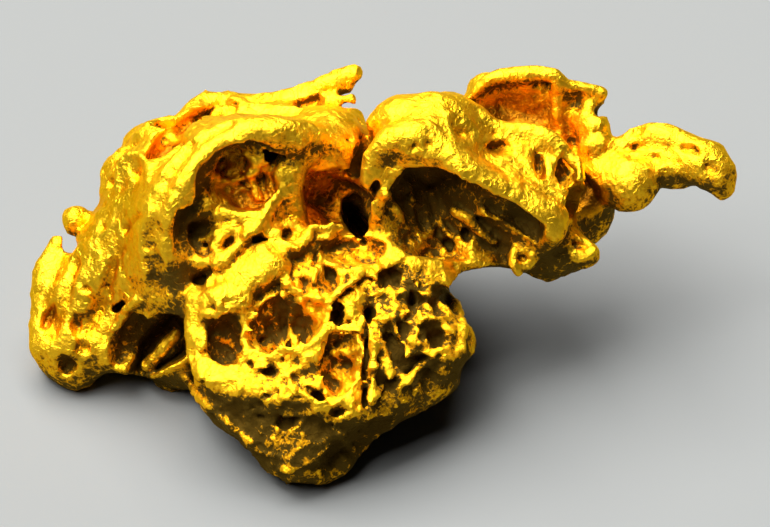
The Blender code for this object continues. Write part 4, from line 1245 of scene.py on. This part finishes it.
# %% Helpers for node trees
def joined(tree, kind, inputs=None, **settings):
    """Adds a node, sets its properties, and fills or links its inputs."""
    node = tree.nodes.new(kind)
    for key, value in settings.items():
        setattr(node, key, value)
    for key, value in (inputs or {}).items():
        if isinstance(value, bpy.types.NodeSocket):
            tree.links.new(value, node.inputs[key])
        else:
            node.inputs[key].default_value = value
    return node


def maths(tree, operation, a, b=0.0, c=0.0):
    return joined(tree, "ShaderNodeMath", {0: a, 1: b, 2: c}, operation=operation).outputs[0]


def weighed(tree, first, *parts):
    """first + value * weight for each (value, weight)."""
    total = first
    for value, weight in parts:
        total = maths(tree, "MULTIPLY_ADD", value, weight, total)
    return total


def ramp(tree, value, low, high, bottom=0.0, top=1.0):
    """Goes from bottom to top while the value goes from low to high."""
    return joined(tree, "ShaderNodeMapRange", {"Value": value, "From Min": low, "From Max": high,
                                               "To Min": bottom, "To Max": top}).outputs[0]


# %% [markdown]
# The skin is never one even colour. Patches a few millimetres wide vary the stain and the painted
# shade, a fine grain and round dents give the hammered look, speckle breaks every edge, and veins are
# the thin lines where a noise passes through its middle value. All are procedural, so they stay sharp
# from close by.

# %% Patterns in the metal
def patterns(tree):
    place = joined(tree, "ShaderNodeTexCoord").outputs["Object"]

    def noise(scale, detail, roughness):
        return joined(tree, "ShaderNodeTexNoise", {"Vector": place, "Scale": scale, "Detail": detail,
                                                   "Roughness": roughness}).outputs["Fac"]

    patches = noise(430.0, 5.0, 0.6)
    speckle = noise(4300.0, 3.0, 0.6)
    grain = noise(2100.0, 6.0, 0.65)
    dents = joined(tree, "ShaderNodeTexVoronoi", {"Vector": place, "Scale": 2600.0}).outputs["Distance"]
    veins = maths(tree, "ABSOLUTE", maths(tree, "SUBTRACT", noise(1500.0, 2.0, 0.45), 0.5))
    veins = ramp(tree, veins, 0.0, 0.035, 1.0, 0.0)
    return patches, speckle, grain, dents, veins


# %% [markdown]
# Native gold is nearly pure, so it is a deep yellow metal with no coat. Light that bounces from
# wall to wall inside a hollow is reddened at every bounce, and Cycles does that by itself. The
# material paints more of that shade on top: deeper gold and red in the hollows, the red partly rust,
# a brown painted shade, partly soil, in the lee, flecks of both in between, and a surface that shines
# more on rubbed edges than under the brown.

# %% Gold with painted shade and stains
GOLD_YELLOW = (1.0, 0.57, 0.016, 1.0)
# deeper gold and red paint the shade of hollows and creases; the red is partly rust
GOLD_IN_PAINTED_SHADE = (0.92, 0.38, 0.004, 1.0)
RUST_AND_SHADE_RED = (0.35, 0.13, 0.006, 1.0)
# the darkest red, where rust and painted shade are strongest
DARK_RUST_AND_SHADE = (0.10, 0.034, 0.002, 1.0)
# brown of the painted shade in the lee, partly soil
SOIL_AND_SHADE_BROWN = (0.060, 0.040, 0.006, 1.0)
GRAZING_TINT = (1.0, 0.8, 0.35, 1.0)         # gold stays yellow even where it is seen edge on
BUMP_HEIGHT = 0.00012                        # m


def gold_with_painted_shade():
    gold = bpy.data.materials.new("gold_with_painted_shade")
    gold.use_nodes = True
    tree = gold.node_tree
    shader = tree.nodes["Principled BSDF"]
    patches, speckle, grain, dents, veins = patterns(tree)
    crease_here, recess_here, shelter_here, rust_and_shade_here, soil_and_shade_here = (
        joined(tree, "ShaderNodeAttribute", attribute_name=name).outputs["Fac"] for name in NOTES)

    # how much of a hollow this is, and how deep in the lee it lies: both paint shade into the colour
    hollow_here = weighed(tree, 0.0, (crease_here, 0.55), (recess_here, 0.75), (patches, 0.7),
                          (shelter_here, 0.25), (rust_and_shade_here, 0.45), (speckle, 0.8), (0.4, -1.0))
    rim_here = ramp(tree, recess_here, -0.30, -0.85)
    shade_and_soil = weighed(tree, 0.0, (shelter_here, 1.0), (soil_and_shade_here, 1.0), (rust_and_shade_here, -0.45), (rim_here, -0.3),
                  (crease_here, 0.45), (patches, 1.3), (speckle, 1.9), (veins, -0.35), (0.5, -1.0))
    # the brown painted shade, partly soil, which also dulls the metal
    stain_and_shade = ramp(tree, shade_and_soil, 1.42, 1.80, 0.0, 0.94)

    # coats of painted shade, rust and soil over the bright metal, the last on top
    colour = GOLD_YELLOW
    for amount, coat in ((ramp(tree, hollow_here, 0.25, 0.85), GOLD_IN_PAINTED_SHADE),
                         (ramp(tree, hollow_here, 0.75, 1.45, 0.0, 0.9), RUST_AND_SHADE_RED),
                         (ramp(tree, rust_and_shade_here, 1.6, 2.4, 0.0, 0.8), DARK_RUST_AND_SHADE),
                         (ramp(tree, shade_and_soil, 1.15, 1.45, 0.0, 0.7), GOLD_IN_PAINTED_SHADE),
                         (stain_and_shade, SOIL_AND_SHADE_BROWN)):
        colour = joined(tree, "ShaderNodeMix", {0: amount, 6: colour, 7: coat}, data_type="RGBA").outputs[2]
    tree.links.new(colour, shader.inputs["Base Color"])
    shader.inputs["Specular Tint"].default_value = GRAZING_TINT
    tree.links.new(ramp(tree, stain_and_shade, 0.0, 1.0, 1.0, 0.8), shader.inputs["Metallic"])
    roughness = weighed(tree, ramp(tree, grain, 0.3, 0.7, 0.35, 0.51), (stain_and_shade, 0.22), (soil_and_shade_here, 0.25))
    tree.links.new(roughness, shader.inputs["Roughness"])
    height = weighed(tree, grain, (dents, 0.5), (speckle, 0.35), (veins, 0.2))
    bump = joined(tree, "ShaderNodeBump", {"Height": height, "Strength": 0.75, "Distance": BUMP_HEIGHT})
    tree.links.new(bump.outputs["Normal"], shader.inputs["Normal"])
    print(gold.name, "has", len(tree.nodes), "nodes")
    return gold


gold = gold_with_painted_shade()

# %% [markdown]
# ## The fine relief
# The grid can't hold wrinkles finer than its spacing, so Geometry Nodes add the finest relief to
# the finished mesh. Every point moves along its normal by noise and by small round dimples, and
# points near the ground stay where they are, so the worn spots stay flat. The tree has named
# inputs, and it ends by realizing its result and giving it the gold.

# %% The skin relief tree
RELIEF_INPUTS = {"Wrinkle height": 0.00005, "Wrinkle size": 0.00045, "Dimple depth": 0.00005,
                 "Dimple size": 0.0006, "Still below": 0.0003, "Seed": 3.0}


def relief_tree(material):
    tree = bpy.data.node_groups.new("skin_relief", "GeometryNodeTree")
    outside = tree.interface
    outside.new_socket("Geometry", in_out="INPUT", socket_type="NodeSocketGeometry")
    for name, value in RELIEF_INPUTS.items():
        outside.new_socket(name, in_out="INPUT", socket_type="NodeSocketFloat").default_value = value
    outside.new_socket("Geometry", in_out="OUTPUT", socket_type="NodeSocketGeometry")
    given = tree.nodes.new("NodeGroupInput").outputs
    finished = tree.nodes.new("NodeGroupOutput")
    place = joined(tree, "GeometryNodeInputPosition").outputs[0]
    normal = joined(tree, "GeometryNodeInputNormal").outputs[0]

    wrinkle_scale = maths(tree, "DIVIDE", 1.0, given["Wrinkle size"])
    wrinkles = joined(tree, "ShaderNodeTexNoise", {"Vector": place, "W": given["Seed"], "Detail": 3.0,
                                                   "Scale": wrinkle_scale},
                      noise_dimensions="4D").outputs["Fac"]
    wrinkles = maths(tree, "MULTIPLY", maths(tree, "SUBTRACT", wrinkles, 0.5), given["Wrinkle height"])
    dimple_scale = maths(tree, "DIVIDE", 1.0, given["Dimple size"])
    cells = joined(tree, "ShaderNodeTexVoronoi", {"Vector": place, "W": given["Seed"], "Scale": dimple_scale},
                   voronoi_dimensions="4D").outputs["Distance"]
    dimples = joined(tree, "ShaderNodeMapRange", {"Value": cells, "From Min": 0.15, "From Max": 0.45,
                                                  "To Min": -1.0, "To Max": 0.0},
                     interpolation_type="SMOOTHSTEP").outputs[0]
    dimples = maths(tree, "MULTIPLY", dimples, given["Dimple depth"])

    height_above = joined(tree, "ShaderNodeSeparateXYZ", {0: place}).outputs["Z"]
    free = joined(tree, "ShaderNodeMapRange", {"Value": height_above, "From Min": 0.0,
                                               "From Max": given["Still below"]}).outputs[0]
    both = maths(tree, "ADD", maths(tree, "MULTIPLY", wrinkles, 2.0), dimples)
    rise = maths(tree, "MULTIPLY", both, free)
    offset = joined(tree, "ShaderNodeVectorMath", {0: normal, "Scale": rise}, operation="SCALE").outputs[0]
    moved = joined(tree, "GeometryNodeSetPosition", {"Geometry": given["Geometry"],
                                                     "Offset": offset}).outputs[0]
    whole = joined(tree, "GeometryNodeRealizeInstances", {0: moved}).outputs[0]
    golden = joined(tree, "GeometryNodeSetMaterial", {"Geometry": whole, "Material": material}).outputs[0]
    tree.links.new(golden, finished.inputs["Geometry"])
    print(tree.name, "has", len(tree.nodes), "nodes and", len(RELIEF_INPUTS), "named inputs")
    return tree


# %% [markdown]
# A modifier's input is set by its socket's identifier, because two inputs may share a name. The
# result is then copied out as a plain mesh and the modifier is taken off, so the piece carries
# nothing that has to be worked out again.

# %% Run the relief and keep its result as a plain mesh
def relieved(obj, tree, sizes):
    modifier = obj.modifiers.new("Skin relief", "NODES")
    modifier.node_group = tree
    for item in tree.interface.items_tree:
        if item.in_out == "INPUT" and item.name in sizes:
            modifier[item.identifier] = sizes[item.name]
    graph = bpy.context.evaluated_depsgraph_get()
    mesh = bpy.data.meshes.new_from_object(obj.evaluated_get(graph))
    obj.modifiers.clear()
    obj.data = mesh
    return mesh


finished_skin = relieved(nugget, relief_tree(gold), RELIEF_INPUTS)
finished_skin.name = "nugget_skin"
print("finished skin:", len(finished_skin.vertices), "points")

# %% [markdown]
# The skin takes the place of the part's plain solid, so it has to keep to the solid's size. The
# two calls say which body carries it and which node it stands in for, whose solid is then hidden.

# %% Hand the skin to the part
for axis, low, high, part_low, part_high in zip("XYZ", *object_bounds(), *PART_BOX):
    past = [round(gap * 1000, 2) for gap in (part_low - low, high - part_high)]
    print(axis, "past the part's box in mm:", *past)
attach(nugget, "root")
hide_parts("gold_nugget")

# %% [markdown]
# ## The table and the light
# The floor is a plain pale sheet of card, matt enough to give the metal something quiet to mirror.
# It is darker in numbers than it looks, because the lights are strong.

# %% The floor
CARD_GREY = (0.17, 0.175, 0.17, 1.0)


def pale_floor(half=1.5):
    corners = [(-half, -half, 0), (half, -half, 0), (half, half, 0), (-half, half, 0)]
    mesh = bpy.data.meshes.new("floor")
    mesh.from_pydata(corners, [], [(0, 1, 2, 3)])
    card = bpy.data.materials.new("pale_card")
    card.use_nodes = True
    shader = card.node_tree.nodes["Principled BSDF"]
    shader.inputs["Base Color"].default_value = CARD_GREY
    shader.inputs["Roughness"].default_value = 0.75
    mesh.materials.append(card)
    floor = bpy.data.objects.new("floor", mesh)
    bpy.context.scene.collection.objects.link(floor)
    return floor


floor = pale_floor()
print("floor is", round(floor.dimensions.x, 1), "m wide")

# %% [markdown]
# Gold shows its form by what it mirrors, so the light matters more than the colour. One large soft
# source high behind the nugget lights the tops and leaves the near sides dark, and a fainter one
# high at the front left opens the shadows. The room itself is nearly dark, to keep the hollows deep.

# %% Lights and world
def soft_light(name, place, size, power, aim=(0.0, 0.0, 0.007)):
    lamp = bpy.data.lights.new(name, "AREA")
    lamp.size = size
    lamp.energy = power
    light = bpy.data.objects.new(name, lamp)
    light.location = place
    light.rotation_euler = (Vector(aim) - Vector(place)).to_track_quat("-Z", "Y").to_euler()
    bpy.context.scene.collection.objects.link(light)
    print(name, "shines from", round((Vector(place) - Vector(aim)).length, 2), "m away")


soft_light("window", (-0.34, 0.48, 1.34), 1.5, 74.0)
soft_light("side_window", (-0.60, -0.32, 1.22), 0.9, 17.0)
room = bpy.data.worlds.new("dim_room")
room.use_nodes = True
background = room.node_tree.nodes["Background"]
background.inputs["Color"].default_value = (0.9, 0.95, 1.0, 1.0)
background.inputs["Strength"].default_value = 0.015
bpy.context.scene.world = room
bpy.context.scene.view_settings.view_transform = "Standard"

# %% [markdown]
# ## The camera
# A small thing is looked at closely with a long lens, so the lines hardly converge. The camera
# looks straight at the show face, which means it looks down at the ground by a right angle less
# the lean. The lens follows from the distance and the width of the view at the nugget.

# %% The camera
DISTANCE = 0.90                  # m, from the camera to the middle of the show face
VIEW_WIDTH = 38.5                # mm, what the view takes in across the nugget
FACE_MIDDLE = np.array([[0.0, 0.0, -3.0]])

look_from = Vector((0.0, -math.sin(LEAN), math.cos(LEAN)))
camera_data = bpy.data.cameras.new("camera")
camera_data.sensor_width = 36.0
camera_data.lens = 36.0 * DISTANCE / (VIEW_WIDTH * MM)
camera_data.clip_start = 0.01
camera = bpy.data.objects.new("camera", camera_data)
camera.location = Vector(to_part(FACE_MIDDLE)[0]) + look_from * DISTANCE
camera.rotation_euler = look_from.to_track_quat("Z", "Y").to_euler()
bpy.context.scene.collection.objects.link(camera)
bpy.context.scene.camera = camera
print("lens:", round(camera_data.lens), "mm")
